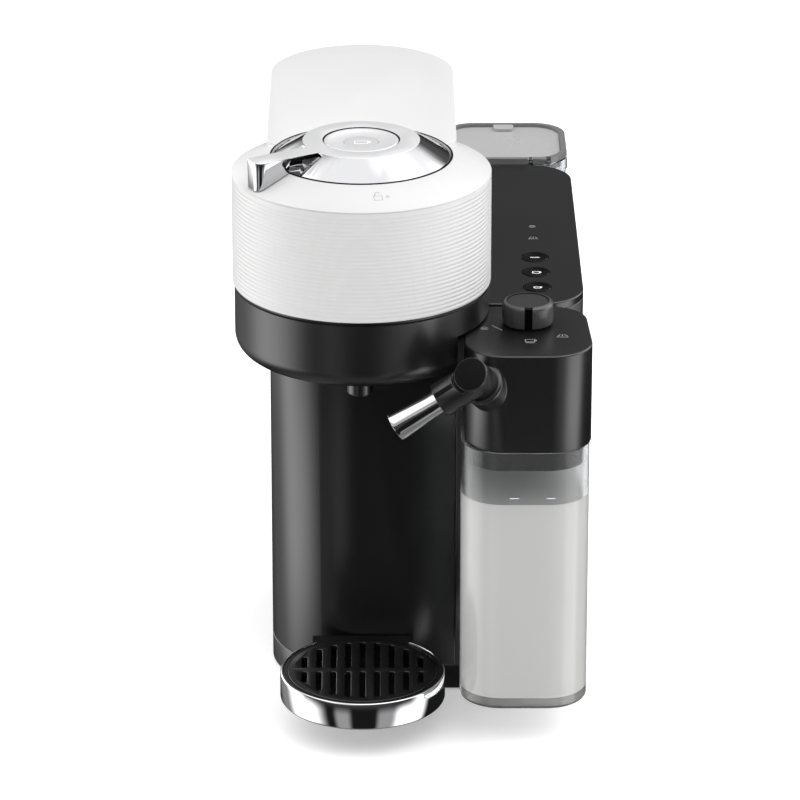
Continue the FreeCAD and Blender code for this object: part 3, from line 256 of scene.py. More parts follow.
satinBlack = plastic("satinBlack", (0.005, 0.005, 0.0055), 0.31, grain=0.000006, Specular_IOR_Level=0.75)
lidBlack = plastic("lidBlack", (0.007, 0.007, 0.0075), 0.31, grain=0.000006, Specular_IOR_Level=0.7)
bowlBlack = plastic("bowlBlack", (0.005, 0.005, 0.0055), 0.34, grain=0.000006, Specular_IOR_Level=0.75)
whiteShell = plastic("whiteShell", (0.6, 0.6, 0.6), 0.42, grain=0.000006, toneDrift=0.015)
ribWhite = plastic("ribWhite", (0.59, 0.59, 0.59), 0.36, grain=0.000004, toneDrift=0.015)
knobGrey = plastic("knobGrey", (0.045, 0.045, 0.046), 0.34, grain=0.00001, Specular_IOR_Level=0.6)
knobTop = plastic("knobTop", (0.035, 0.035, 0.036), 0.3, grain=0.000004)
# flat black: the own colour of the jug lid's seal and the spout joint's end plug, and also painted shade in
# the lever's bore and pocket, the knob's slot and seam, and the ring round the lever
blackPartsAndShade = plastic("blackPartsAndShade", (0.002, 0.002, 0.002), 0.6, grain=0.000004, Specular_IOR_Level=0.1)
windowGrey = plastic("windowGrey", (0.5, 0.5, 0.505), 0.3, grain=0.000004)
innerGrey = plastic("innerGrey", (0.12, 0.12, 0.125), 0.5)
rubberBlack = plastic("rubberBlack", (0.018, 0.018, 0.018), 0.75, grain=0.00003, grainScale=900.0)
siliconeWhite = plastic("siliconeWhite", (0.62, 0.6, 0.56), 0.55)
boardGreen = plastic("boardGreen", (0.01, 0.09, 0.04), 0.4)
coilYellow = plastic("coilYellow", (0.45, 0.33, 0.05), 0.45)
iconWhite = plastic("iconWhite", (0.85, 0.85, 0.85), 0.45, grain=0.000002)
iconGrey = plastic("iconGrey", (0.3, 0.3, 0.3), 0.45, grain=0.000002)
milkWhite = plastic("milkWhite", (0.8, 0.795, 0.775), 0.3, grain=0.000001, toneDrift=0.01)
buttonBlack = polished("buttonBlack", (0.002, 0.002, 0.002), 0.2, Specular_IOR_Level=0.12)
chromeBright = polished("chromeBright", (0.58, 0.58, 0.59), 0.04, film=0.04, dust=0.05, Metallic=1.0)
castAluminium = plastic("castAluminium", (0.52, 0.52, 0.53), 0.5, grain=0.00006, grainScale=700.0,
                        Metallic=1.0)
shaftSteel = turnedMetal("shaftSteel", (0.6, 0.6, 0.61), 0.3, (head.x, head.y, 0))
spunSilver = turnedMetal("spunSilver", (0.9, 0.9, 0.91), 0.4, (head.x, head.y, 0), 0.12, 0.6)
clearTank = polished("clearTank", (0.62, 0.65, 0.66), 0.08, film=0.06, Transmission_Weight=1.0, IOR=1.45)
clearJug = polished("clearJug", (0.9, 0.91, 0.92), 0.12, film=0.1, Transmission_Weight=1.0, IOR=1.45)

# the tank's lid is a pale plate with a darker rim
lidTones = {"flat": 0.47, "rim": 0.2, "corner": 19.4 * mm, "band": 3.8 * mm}
frostedLid = polished("frostedLid", [lidTones["flat"]] * 3, 0.25, film=0.06, Transmission_Weight=0.25,
                      IOR=1.45)
lidTree = frostedLid.node_tree
lidBand = edgeBand(lidTree, "tank_lid", lidTones["corner"], lidTones["band"])
lidTone = mathNode(lidTree, "MULTIPLY_ADD", lidBand, lidTones["rim"] - lidTones["flat"], lidTones["flat"])
lidTree.links.new(lidTone, lidTree.nodes["Principled BSDF"].inputs["Base Color"])

finishes = {
    "base_plate": satinBlack, "rubber_feet": rubberBlack, "power_inlet": rubberBlack,
    "column_shell": satinBlack, "side_housing": satinBlack, "control_panel": satinBlack,
    "status_lights": satinBlack, "control_board": boardGreen, "chassis_frame": innerGrey,
    "head_bowl": bowlBlack, "holder_bearing": shaftSteel, "capsule_holder": innerGrey,
    "coffee_collector": innerGrey, "coffee_outlet": satinBlack, "spin_motor": shaftSteel,
    "motor_pulley": shaftSteel, "drive_belt": rubberBlack, "neck_deck": satinBlack,
    "capsule_container": satinBlack, "top_cover": whiteShell, "ribbed_band": ribWhite,
    "lid_frame": satinBlack, "hinge_pin": shaftSteel, "clamp_bearing": shaftSteel,
    "clamp_plate": innerGrey, "piercing_needle": shaftSteel, "lid_hose": siliconeWhite,
    "lever_seat": satinBlack, "lever_ring": chromeBright, "brew_button": spunSilver,
    "button_window": windowGrey, "button_bellows": siliconeWhite, "water_tank": clearTank,
    "tank_valve": innerGrey, "tank_socket": innerGrey, "tank_lid": frostedLid,
    "flow_meter": innerGrey, "water_pump": coilYellow, "pump_mount": rubberBlack,
    "thermoblock": castAluminium, "heater_stands": shaftSteel, "steam_heater": castAluminium,
    "steam_pipe": shaftSteel, "pump_hose": siliconeWhite, "brew_hose": siliconeWhite,
    "milk_dock": innerGrey, "cup_ring": chromeBright, "drip_tray": satinBlack,
    "drip_grid": satinBlack, "milk_jug": clearJug, "milk_lid": lidBlack, "lid_seal": blackPartsAndShade,
    "suction_tube": siliconeWhite, "foam_knob": knobGrey, "knob_cap": knobTop,
    "spout_knuckle": lidBlack, "spout_tube": chromeBright, "large_cup_button": buttonBlack,
    "small_cup_button": buttonBlack, "foam_cup_button": buttonBlack,
}
for nodeName, finish in finishes.items():
    for slot in nodes[nodeName].material_slots:
        slot.material = finish
print("materials set")


# tolerances used when shapes are made: distances in metres, angles in degrees
tolerance = {"merge": 0.002 * mm, "copyMerge": 0.005 * mm, "level": 0.01 * mm, "flat": 0.6}


# a finished bmesh becomes a piece that rides its body
def finishPiece(bm, name, body, material, replaced=(), sharpAbove=38, tidyNormals=True):
    if tidyNormals:
        bmesh.ops.remove_doubles(bm, verts=bm.verts[:], dist=tolerance["merge"])
        bmesh.ops.recalc_face_normals(bm, faces=bm.faces[:])
    mesh = bpy.data.meshes.new(name)
    bm.to_mesh(mesh)
    bm.free()
    mesh.materials.append(material)
    return addPiece(mesh, name, body, replaced, sharpAbove)


def addPiece(mesh, name, body, replaced=(), sharpAbove=38):
    mesh.shade_smooth()
    mesh.set_sharp_from_angle(angle=math.radians(sharpAbove))
    piece = bpy.data.objects.new(name, mesh)
    bpy.context.collection.objects.link(piece)
    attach(piece, body)
    if replaced:
        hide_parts(*replaced)
    return piece


# a closed (radius, height) outline spun about an upright axis
def spinOutline(bm, outline, centre, steps, start=0.0, sweep=math.tau):
    full = abs(sweep - math.tau) < 0.001
    turn = Matrix.Rotation(start, 4, "Z")
    corners = [bm.verts.new(turn @ Vector((radius, 0, height)) + Vector((centre.x, centre.y, 0)))
               for radius, height in outline]
    if full:
        geometry = corners + [bm.edges.new(pair) for pair in zip(corners, corners[1:] + corners[:1])]
    else:
        face = bm.faces.new(corners)
        geometry = corners + list(face.edges) + [face]
    bmesh.ops.spin(bm, geom=geometry, cent=(centre.x, centre.y, 0), axis=(0, 0, 1), dvec=(0, 0, 0),
                   angle=sweep, steps=steps, use_merge=full, use_duplicate=False)
    bmesh.ops.remove_doubles(bm, verts=bm.verts[:], dist=tolerance["merge"])


# a CAD node's mesh copied, merged and given small rounded edges, kept inside the node's box
def softened(nodeName, name, body, material, width, segments=2, above=35):
    bm = bmesh.new()
    bm.from_mesh(nodes[nodeName].data)
    bmesh.ops.remove_doubles(bm, verts=bm.verts[:], dist=tolerance["copyMerge"])
    bmesh.ops.dissolve_limit(bm, angle_limit=math.radians(tolerance["flat"]), use_dissolve_boundaries=False,
                             verts=bm.verts[:], edges=bm.edges[:])
    sharp = [edge for edge in bm.edges
             if len(edge.link_faces) == 2 and edge.calc_face_angle(0) > math.radians(above)]
    bmesh.ops.bevel(bm, geom=sharp, offset=width * mm, offset_type="OFFSET", segments=segments,
                    profile=0.5, affect="EDGES", clamp_overlap=False, material=-1)
    low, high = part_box(nodeName)
    for vert in bm.verts:
        vert.co = [max(low[axis], min(high[axis], vert.co[axis])) for axis in range(3)]
    return finishPiece(bm, name, body, material, (nodeName,), tidyNormals=False)


# thin raised print: round strokes flattened and laid on a surface
def printedIcon(name, strokes, body, material, width, place, rise=0.06):
    curve = bpy.data.curves.new(name, "CURVE")
    curve.dimensions = "3D"
    curve.bevel_depth = width * mm / 2
    curve.bevel_resolution = 2
    curve.use_fill_caps = True
    for points, closed in strokes:
        spline = curve.splines.new("POLY")
        spline.points.add(len(points) - 1)
        for point, (x, y) in zip(spline.points, points):
            point.co = (x * mm, y * mm, 0, 1)
        spline.use_cyclic_u = closed
    holder = bpy.data.objects.new(name + "Lines", curve)
    bpy.context.collection.objects.link(holder)
    depsgraph = bpy.context.evaluated_depsgraph_get()
    mesh = bpy.data.meshes.new_from_object(holder.evaluated_get(depsgraph))
    bpy.data.objects.remove(holder)
    mesh.transform(place @ Matrix.Diagonal((1, 1, 2 * rise / width, 1)))
    mesh.materials.clear()
    mesh.materials.append(material)
    return addPiece(mesh, name, body)


# points along an arc from one angle to another, in degrees
def arc(x, y, radius, start, end, steps):
    angles = [math.radians(start + (end - start) * i / steps) for i in range(steps + 1)]
    return [(x + radius * math.cos(angle), y + radius * math.sin(angle)) for angle in angles]


# a cup seen from the side: the bowl's outline and its handle
def cupStrokes(wide, tall):
    half, low, high = wide / 2, -tall / 2, tall / 2
    corner = min(wide, tall) * 0.25
    bowl = [(-half, high), (-half, low + corner)]
    bowl += arc(-half + corner, low + corner, corner, 180, 270, 5)
    bowl += arc(half - corner, low + corner, corner, 270, 360, 5)
    bowl += [(half, high)]
    handle = arc(half, 0.1 * tall, 0.28 * tall, 80, -80, 8)
    return [(bowl, True), (handle, False)]


def onTop(x, y, z, size=1.0):
    return Matrix.Translation((x, y, z)) @ Matrix.Scale(size, 4)


def vertsOf(geometry):
    return [item for item in geometry if isinstance(item, bmesh.types.BMVert)]


# an outline of corners (x, y, rounding), anticlockwise from above, extruded upwards
def roundedBlock(bm, corners, low, high, cornerSteps=10):
    points = [bm.verts.new((x, y, low)) for x, y, _ in corners]
    bm.faces.new(points)
    for point, (_, _, rounding) in zip(points, corners):
        bmesh.ops.bevel(bm, geom=[point], offset=rounding, offset_type="OFFSET", segments=cornerSteps,
                        profile=0.5, affect="VERTICES", material=-1)
    bottom = bm.faces[:][0]
    raised = bmesh.ops.extrude_face_region(bm, geom=[bottom])["geom"]
    bmesh.ops.translate(bm, verts=vertsOf(raised), vec=(0, 0, high - low))
    return faceAt(bm, high)


# the largest flat face at a height
def faceAt(bm, height):
    level = [face for face in bm.faces
             if all(abs(vert.co.z - height) < tolerance["level"] for vert in face.verts)]
    return max(level, key=lambda face: face.calc_area())


# the top face sunk to make a vessel with even walls
def hollowOut(bm, top, wall, floorHeight):
    bmesh.ops.inset_region(bm, faces=[top], thickness=wall, use_even_offset=True)
    sunk = bmesh.ops.extrude_face_region(bm, geom=[top])["geom"]
    height = top.verts[0].co.z if top.is_valid else max(vert.co.z for vert in vertsOf(sunk))
    bmesh.ops.translate(bm, verts=vertsOf(sunk), vec=(0, 0, floorHeight - height))
    if top.is_valid:
        bmesh.ops.delete(bm, geom=[top], context="FACES_ONLY")
    return faceAt(bm, floorHeight)


def roundEdges(bm, edges, radius, segments=3):
    bmesh.ops.bevel(bm, geom=edges, offset=radius, offset_type="OFFSET", segments=segments, profile=0.5,
                    affect="EDGES", material=-1)


# milk jug and its milk
jug = {"wall": 2.2 * mm, "base": 5.6 * mm, "insideRound": 3 * mm, "footRound": 2.2 * mm,
       "frontRound": 23 * mm, "rearLeftRound": 8 * mm, "rearRightRound": 20 * mm,
       "rearInLeft": 1.6 * mm, "rearInRight": 3.4 * mm, "leanLeft": 0.5 * mm, "leanRight": 1.04 * mm}
milk = {"top": 120.5 * mm, "overlap": 0.05 * mm}
jugLow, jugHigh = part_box("milk_jug")


def jugOutline(grow):
    left, right = jugLow.x - jug["leanLeft"], jugHigh.x + jug["leanRight"]
    return [(left - grow, jugLow.y - grow, jug["frontRound"] + grow),
            (right + grow, jugLow.y - grow, jug["frontRound"] + grow),
            (right - jug["rearInRight"] + grow, jugHigh.y + grow, jug["rearRightRound"] + grow),
            (left + jug["rearInLeft"] - grow, jugHigh.y + grow, jug["rearLeftRound"] + grow)]


jugBm = bmesh.new()
jugTop = roundedBlock(jugBm, jugOutline(0), jugLow.z, jugHigh.z)
jugFloor = hollowOut(jugBm, jugTop, jug["wall"], jugLow.z + jug["base"])
roundEdges(jugBm, list(jugFloor.edges), jug["insideRound"])
roundEdges(jugBm, list(faceAt(jugBm, jugLow.z).edges), jug["footRound"], 4)
finishPiece(jugBm, "jugWall", "milk_jug", clearJug, ("milk_jug",))

# the milk reaches a little into the walls, so that no gap shows
milkLow = jugLow.z + jug["base"] - milk["overlap"]
milkBm = bmesh.new()
roundedBlock(milkBm, jugOutline(milk["overlap"] - jug["wall"]), milkLow, jugLow.z + milk["top"])
roundEdges(milkBm, list(faceAt(milkBm, milkLow).edges), jug["insideRound"])
finishPiece(milkBm, "milkFill", "milk_jug", milkWhite)

# level marks: two short dashes on the front wall
levelMarks = {"height": 149.5 * mm, "aside": 3.6 * mm, "reach": 12.2, "gap": 7.5, "width": 0.45}
markAt = Vector(((jugLow.x + jugHigh.x) / 2 + levelMarks["aside"], jugLow.y, levelMarks["height"]))
frontWall = Matrix.Translation(markAt) @ Matrix.Rotation(math.radians(90), 4, "X")
dashes = [([(side * levelMarks["gap"], 0), (side * levelMarks["reach"], 0)], False) for side in (-1, 1)]
printedIcon("levelMark", dashes, "milk_jug", iconWhite, levelMarks["width"], frontWall)
print("jug made")


# ribbed band of the lid
band = {"ribs": 26, "pitch": 2.3 * mm, "depth": 0.6 * mm, "fill": 0.84, "fullness": 0.6, "points": 5,
        "wall": 2.5 * mm, "seatX": 57.5 * mm, "capIn": 0.2 * mm, "topRound": (0.3 * mm, 0.4 * mm),
        "around": 200}
bandLow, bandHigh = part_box("ribbed_band")
bandRadius = head.x - bandLow.x
bandOutline = [(bandRadius - band["wall"], bandLow.z)]
for rib in range(band["ribs"]):
    for step in range(band["points"]):
        share = step / band["points"]
        bulge = math.sin(math.pi * ((1 - band["fill"]) / 2 + band["fill"] * share)) ** band["fullness"]
        height = bandLow.z + (rib + share) * band["pitch"]
        bandOutline.append((bandRadius - band["depth"] * (1 - bulge), height))
bandOutline += [(bandRadius - band["capIn"], bandLow.z + band["ribs"] * band["pitch"]),
                (bandRadius, bandHigh.z - band["topRound"][1]),
                (bandRadius - band["topRound"][0], bandHigh.z),
                (bandRadius - band["wall"], bandHigh.z)]

# the band is open at the back, where the neck begins
bandEnd = math.asin(math.sqrt(bandRadius ** 2 - band["seatX"] ** 2) / bandRadius)
bandBm = bmesh.new()
spinOutline(bandBm, bandOutline, head, band["around"], math.pi - bandEnd, math.pi + 2 * bandEnd)
finishPiece(bandBm, "ribBand", "lid", ribWhite, ("ribbed_band",), 60)
print("band made")


# lever
leverLook = {"edge": 0.35, "armTurn": -147.5, "ringEnd": 48.3 * mm, "boreRadius": 20.95 * mm,
             "pocketRadius": 48.7 * mm, "pocketSweep": 45, "pocketSink": 1.2 * mm, "flatSink": 0.6 * mm}
# lever material slots: 1 is the spun flat top, 2 is black for the painted shade in the bore and pocket
leverPaints = {"flat": 1, "dark": 2}
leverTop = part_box("lever_ring")[1].z
leverPiece = softened("lever_ring", "leverBody", "lever", chromeBright, leverLook["edge"], 2, 40)
leverPiece.data.materials.append(spunSilver)
leverPiece.data.materials.append(blackPartsAndShade)

# the arm's faces are divided where the ring ends, so each side of the line can have its own colour
armAngle = math.radians(leverLook["armTurn"])
armWay = Vector((math.cos(armAngle), math.sin(armAngle), 0))
ringEnd = Vector((head.x, head.y, 0)) + armWay * leverLook["ringEnd"]
leverBm = bmesh.new()
leverBm.from_mesh(leverPiece.data)
bmesh.ops.bisect_plane(leverBm, geom=leverBm.verts[:] + leverBm.edges[:] + leverBm.faces[:],
                       dist=0.001 * mm, plane_co=ringEnd, plane_no=armWay)
leverBm.to_mesh(leverPiece.data)
leverBm.free()


def fromHeadAxis(point):
    return math.hypot(point.x - head.x, point.y - head.y)


# the bore and the thumb pocket beside the arm get painted shade (flat black where shade falls in them), the
# flat top is spun
leverVerts = leverPiece.data.vertices
for face in leverPiece.data.polygons:
    centre = face.center
    faceAngle = math.degrees(math.atan2(centre.y - head.y, centre.x - head.x))
    besideArm = 0 < faceAngle - leverLook["armTurn"] < leverLook["pocketSweep"]
    inRing = fromHeadAxis(centre) < leverLook["pocketRadius"]
    sunk = centre.z < leverTop - leverLook["pocketSink"]
    inPocket = besideArm and inRing and sunk and face.normal.z < 0.5
    inBore = max(fromHeadAxis(leverVerts[i].co) for i in face.vertices) < leverLook["boreRadius"]
    if inBore or inPocket:
        face.material_index = leverPaints["dark"]
    elif face.normal.z > 0.9 and centre.z > leverTop - leverLook["flatSink"]:
        face.material_index = leverPaints["flat"]

# painted shadow: a thin flat black ring round the lever, where the cover's opening ends, shows the gap
# there as dark shade
gapRing = {"inner": 48.3 * mm, "outer": 49.3 * mm, "thick": 0.08 * mm, "innerDepth": 0.5 * mm,
           "outerDepth": 0.1 * mm, "around": 160}
coverSlope = {"radius": 70 * mm, "height": 311 * mm, "fall": 8.8 / 21.6}


# the cover's sloping top at a distance from the head's axis
def coverHeight(radius):
    return coverSlope["height"] + (coverSlope["radius"] - radius) * coverSlope["fall"]


innerHeight = coverHeight(gapRing["inner"])
outerHeight = coverHeight(gapRing["outer"])
gapOutline = [(gapRing["inner"], innerHeight - gapRing["innerDepth"]),
              (gapRing["outer"], outerHeight - gapRing["outerDepth"]),
              (gapRing["outer"], outerHeight + gapRing["thick"]),
              (gapRing["inner"], innerHeight + gapRing["thick"])]
gapBm = bmesh.new()
spinOutline(gapBm, gapOutline, head, gapRing["around"])
finishPiece(gapBm, "gapShadowPaint", "lid", blackPartsAndShade)

# brew button: a dished cap with a rounded rim over a thin skirt
brewCap = {"radius": 20.1 * mm, "dish": 1.35 * mm, "dishIn": 1.2 * mm, "windowRadius": 9.35 * mm,
           "windowGap": 0.15 * mm, "ringStep": 1.18 * mm, "rings": 9, "skirtTop": 7.6 * mm,
           "skirtIn": 2 * mm, "skirtWall": 2 * mm, "underside": 5.5 * mm,
           "rimCurve": ((0.35, 0.08), (0.08, 0.3), (0, 0.7)), "around": 128}
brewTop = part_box("brew_button")[1].z
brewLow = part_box("brew_button")[0].z


def dishHeight(radius):
    dishEdge = brewCap["radius"] - brewCap["dishIn"]
    share = (radius - brewCap["windowRadius"]) / (dishEdge - brewCap["windowRadius"])
    return brewTop - brewCap["dish"] * (1 - max(0.0, min(1.0, share)) ** 2)


firstRing = brewCap["windowRadius"] + brewCap["windowGap"]
skirtOut = brewCap["radius"] - brewCap["skirtIn"]
skirtInside = skirtOut - brewCap["skirtWall"]
dishRadii = [firstRing + ring * brewCap["ringStep"] for ring in range(brewCap["rings"])]
brewOutline = [(radius, dishHeight(radius)) for radius in dishRadii]
brewOutline += [(brewCap["radius"] - inset * mm, brewTop - drop * mm)
                for inset, drop in brewCap["rimCurve"]]
brewOutline += [(brewCap["radius"], brewLow + brewCap["skirtTop"]),
                (skirtOut, brewLow + brewCap["skirtTop"]), (skirtOut, brewLow), (skirtInside, brewLow),
                (skirtInside, brewLow + brewCap["underside"]), (firstRing, brewLow + brewCap["underside"])]
brewBm = bmesh.new()
spinOutline(brewBm, brewOutline, head, brewCap["around"])
finishPiece(brewBm, "brewCap", "brew_button", spunSilver, ("brew_button",), 50)

# round window in the button's middle, with a softly sunk top
windowLook = {"radius": 9.35 * mm, "proud": 0.1 * mm, "markSink": 0.22 * mm, "markWidth": 0.75,
              "profile": ((0, 0.25), (5, 0.2), (8.6, 0.05), (9.2, 0.15), (9.35, 0.5)), "around": 96}
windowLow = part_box("button_window")[0]
windowTop = brewTop - brewCap["dish"] + windowLook["proud"]
windowOutline = [(radius * mm, windowTop - drop * mm) for radius, drop in windowLook["profile"]]
windowOutline += [(windowLook["radius"], windowLow.z), (0, windowLow.z)]
windowBm = bmesh.new()
spinOutline(windowBm, windowOutline, head, windowLook["around"])
finishPiece(windowBm, "cupWindow", "brew_button", windowGrey, ("button_window",), 50)

# rubber bellows of the brew button, given softly rounded edges; on the machine it gives way when the button
# is pressed
bellowsPiece = softened("button_bellows", "rubberFolds", "lid", siliconeWhite, 0.1, 1, 60)
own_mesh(bellowsPiece)
printedIcon("windowCup", cupStrokes(7.2, 4.6), "brew_button", iconWhite,
            windowLook["markWidth"], onTop(head.x, head.y, windowTop - windowLook["markSink"]))

# padlock with a small arrow on the sloping rim in front
lockMark = {"right": 9.9 * mm, "front": 57.6 * mm, "turn": 10, "width": 0.42}
lockAt = Vector((head.x + lockMark["right"], head.y - lockMark["front"], 0))
lockAt.z = coverHeight(fromHeadAxis(lockAt))
lockPlace = (Matrix.Translation(lockAt) @ Matrix.Rotation(math.radians(lockMark["turn"]), 4, "Z")
             @ Matrix.Rotation(math.atan(coverSlope["fall"]), 4, "X"))
lockStrokes = [([(-3.2, -2.6), (1.2, -2.6), (1.2, 0.8), (-3.2, 0.8)], True),
               ([(-2.4, 0.8), (-2.4, 2.2)] + arc(-1.0, 2.2, 1.4, 180, 20, 8), False),
               ([(3.6, -1.3), (3.6, 0.7), (5.2, -0.3)], True)]
printedIcon("lockMark", lockStrokes, "lid", iconGrey, lockMark["width"], lockPlace)
print("lever made")


# recipe buttons and the pictures on them
capLook = {"stem": 2.2 * mm, "flange": 9.35 * mm, "flangeLow": 5 * mm, "flangeHigh": 6.2 * mm,
           "radius": 7.75 * mm, "rimCurve": ((7.75, 0.5), (7.55, 0.12), (7.2, 0)), "dishRadius": 7.2,
           "dish": 0.7 * mm, "rings": (6.4, 5.2, 4, 2.6, 1.3, 0), "markSink": 0.63 * mm, "around": 64}
capMarks = {"large_cup_button": ([([(-2.6, 0.2), (2.6, 0.2)], False)], 1.0),
            "small_cup_button": (cupStrokes(3.8, 3.0), 0.8), "foam_cup_button": (cupStrokes(3.6, 2.2), 0.8)}
for nodeName, (strokes, width) in capMarks.items():
    low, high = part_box(nodeName)
    centre = (Vector(low) + Vector(high)) / 2
    outline = [(0, low.z), (capLook["stem"], low.z), (capLook["stem"], low.z + capLook["flangeLow"]),
               (capLook["flange"], low.z + capLook["flangeLow"]),
               (capLook["flange"], low.z + capLook["flangeHigh"]),
               (capLook["radius"], low.z + capLook["flangeHigh"])]
    outline += [(radius * mm, high.z - drop * mm) for radius, drop in capLook["rimCurve"]]
    outline += [(radius * mm, high.z - capLook["dish"] * (1 - (radius / capLook["dishRadius"]) ** 2))
                for radius in capLook["rings"]]
    capBm = bmesh.new()
    spinOutline(capBm, outline, centre, capLook["around"])
    pieceName = nodeName.replace("_button", "Cap").replace("_c", "C")
    finishPiece(capBm, pieceName, nodeName, buttonBlack, (nodeName,), 50)
    printedIcon(pieceName.replace("Cap", "Mark"), strokes, nodeName, iconWhite, width,
                onTop(centre.x, centre.y, high.z - capLook["markSink"]))
print("buttons made")


# parts whose CAD shape stays, with small rounded edges: piece, body, slot, finish, rounding
softEdges = {
    "top_cover": ("coverShell", "lid", "white_plastic", whiteShell, 0.4),
    "column_shell": ("columnCover", "base", "black_plastic", satinBlack, 0.4),
    "side_housing": ("blockCover", "base", "black_plastic", satinBlack, 0.4),
    "base_plate": ("plinthCover", "base", "black_plastic", satinBlack, 0.4),
    "milk_lid": ("jugCover", "milk_lid", "black_plastic", lidBlack, 0.35),
    "foam_knob": ("knobBody", "foam_knob", "grey_plastic", knobGrey, 0.35),
    "drip_grid": ("cupGrid", "drip_grid", "black_plastic", satinBlack, 0.3),
    "capsule_container": ("binWall", "capsule_container", "black_plastic", satinBlack, 0.4),
    "spout_knuckle": ("spoutJoint", "milk_spout", "black_plastic", lidBlack, 0.35),
    "spout_tube": ("spoutPipe", "spout_tube", "chrome", chromeBright, 0.2),
    "cup_ring": ("ringBand", "cup_support", "chrome", chromeBright, 0.3),
}
for nodeName, (pieceName, body, slotName, material, width) in softEdges.items():
    softened(nodeName, pieceName, body, material, width)

# painted shade: the knob's slot and the recessed seam around its cap are coloured flat black as shade
knobLook = {"seamRadius": 11.5 * mm, "seamDepth": 2 * mm, "slotHalf": 2.3 * mm, "slotFrom": 9.5 * mm}
knobAt = middle("foam_knob")
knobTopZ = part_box("foam_knob")[1].z
knobPiece = bpy.data.objects["knobBody"]
knobPiece.data.materials.append(blackPartsAndShade)
for face in knobPiece.data.polygons:
    corners = [knobPiece.data.vertices[i].co - knobAt for i in face.vertices]
    nearCap = all(math.hypot(corner.x, corner.y) < knobLook["seamRadius"] for corner in corners)
    onSeam = nearCap and face.center.z > knobTopZ - knobLook["seamDepth"]
    inSlot = all(abs(corner.x) < knobLook["slotHalf"] and corner.y < -knobLook["slotFrom"]
                 for corner in corners)
    if onSeam or inSlot:
        face.material_index = 1

# the spout joint's flat end is a plain dark plug
jointPiece = bpy.data.objects["spoutJoint"]
jointPiece.data.materials.append(blackPartsAndShade)
plugFaces = {"axis": Vector((-0.34, -0.749, 0.569)), "alike": 0.99}
for face in jointPiece.data.polygons:
    if face.normal.dot(plugFaces["axis"]) > plugFaces["alike"]:
        face.material_index = 1
print("soft edges made")

# pictures on the milk lid around the knob, and those of the status lights on the panel
foamDrop = [(arc(0, 0.5, 1.3, 20, 160, 6) + [(-1.9, 0.2), (1.9, 0.2)], True),
            ([(-2.2, -0.9), (2.2, -0.9)], False), ([(-1.6, -1.9), (1.6, -1.9)], False)]
steamMark = [([(-2.6, -1.6), (-1.2, 1.2)], False), ([(0, -1.6), (0, 1.4)], False),
             ([(2.6, -1.6), (1.2, 1.2)], False), ([(-3.2, -2.6), (3.2, -2.6)], False)]
tickMark = [([(-19.3, -3.2), (-13.9, -10.6)], False)]
mugMark = cupStrokes(5.0, 3.6) + [([(-2.4, -3.2), (2.4, -3.2)], False)]
lidMarks = (("foamMark", foamDrop, (-23.5, -7.3), 0.5), ("tickMark", tickMark, (0, 0), 0.6),
            ("mugMark", mugMark, (0.5, -26.2), 0.5), ("steamMark", steamMark, (18.1, -18.3), 0.5))
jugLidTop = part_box("milk_lid")[1].z
for name, strokes, (x, y), width in lidMarks:
    printedIcon(name, strokes, "milk_lid", iconGrey, width,
                onTop(knobAt.x + x * mm, knobAt.y + y * mm, jugLidTop))

panelMarks = {"inset": 2.95 * mm, "width": 0.5, "size": 0.9}
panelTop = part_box("control_panel")[1].z
lightsLow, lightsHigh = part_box("status_lights")
for name, strokes, y in (("cleanMark", steamMark, lightsLow.y + panelMarks["inset"]),
                         ("descaleMark", foamDrop, lightsHigh.y - panelMarks["inset"])):
    printedIcon(name, strokes, "base", iconGrey, panelMarks["width"],
                onTop(middle("status_lights").x, y, panelTop, panelMarks["size"]))
print("printed marks made")

# camera
cameraFacts = {"place": (-0.01538, -2.56027, 1.1528), "pitch": 68.32, "yaw": -0.22, "lens": 216.92,
               "sensor": 36.0, "farthest": 20.0}
cameraData = bpy.data.cameras.new("camera")
cameraData.sensor_width = cameraFacts["sensor"]
cameraData.lens = cameraFacts["lens"]
cameraData.clip_end = cameraFacts["farthest"]
camera = bpy.data.objects.new("camera", cameraData)
camera.location = cameraFacts["place"]
camera.rotation_euler = (math.radians(cameraFacts["pitch"]), 0, math.radians(cameraFacts["yaw"]))
bpy.context.collection.objects.link(camera)
bpy.context.scene.camera = camera
bpy.context.scene.view_settings.view_transform = "Standard"

# studio: soft panels around the object; turn is degrees from the front towards the right,
# rise is degrees above the horizon, and each panel fades over its soft angle
studio = {
    "ambient": 0.015,
    "lowFade": 8,
    "highFade": 10,
    "below": {"rise": (-44, -62), "power": 0.3},
    "sky": {"rise": (-4, 16), "power": 0.1},
    "top": {"rise": (38, 65), "power": 1.35},
    "panels": [{"turn": -87, "half": 24, "soft": 32, "rise": (-38, -4), "power": 3.0},
               {"turn": -120, "half": 30, "soft": 40, "rise": (-38, -4), "power": 0.35},
               {"turn": -124, "half": 31, "soft": 27, "rise": (-5, 20), "power": 4.6},
               {"turn": -27, "half": 10, "soft": 9, "rise": (-50, -4), "power": 0.5},
               {"turn": 31, "half": 10, "soft": 9, "rise": (-50, -4), "power": 0.5},
               {"turn": 70, "half": 23, "soft": 20, "rise": (-46, -6), "power": 3.0},
               {"turn": 108, "half": 30, "soft": 25, "rise": (-7, 33), "power": 2.4},
               {"turn": -31, "half": 21, "soft": 20, "rise": (17, 25), "power": 1.2},
               {"turn": 27, "half": 48, "soft": 40, "rise": (36, 70), "power": 2.0},
               {"turn": -78, "half": 50, "soft": 39, "rise": (32, 55), "power": 1.9},
               {"turn": 112, "half": 53, "soft": 30, "rise": (26, 66), "power": 1.4}],
}

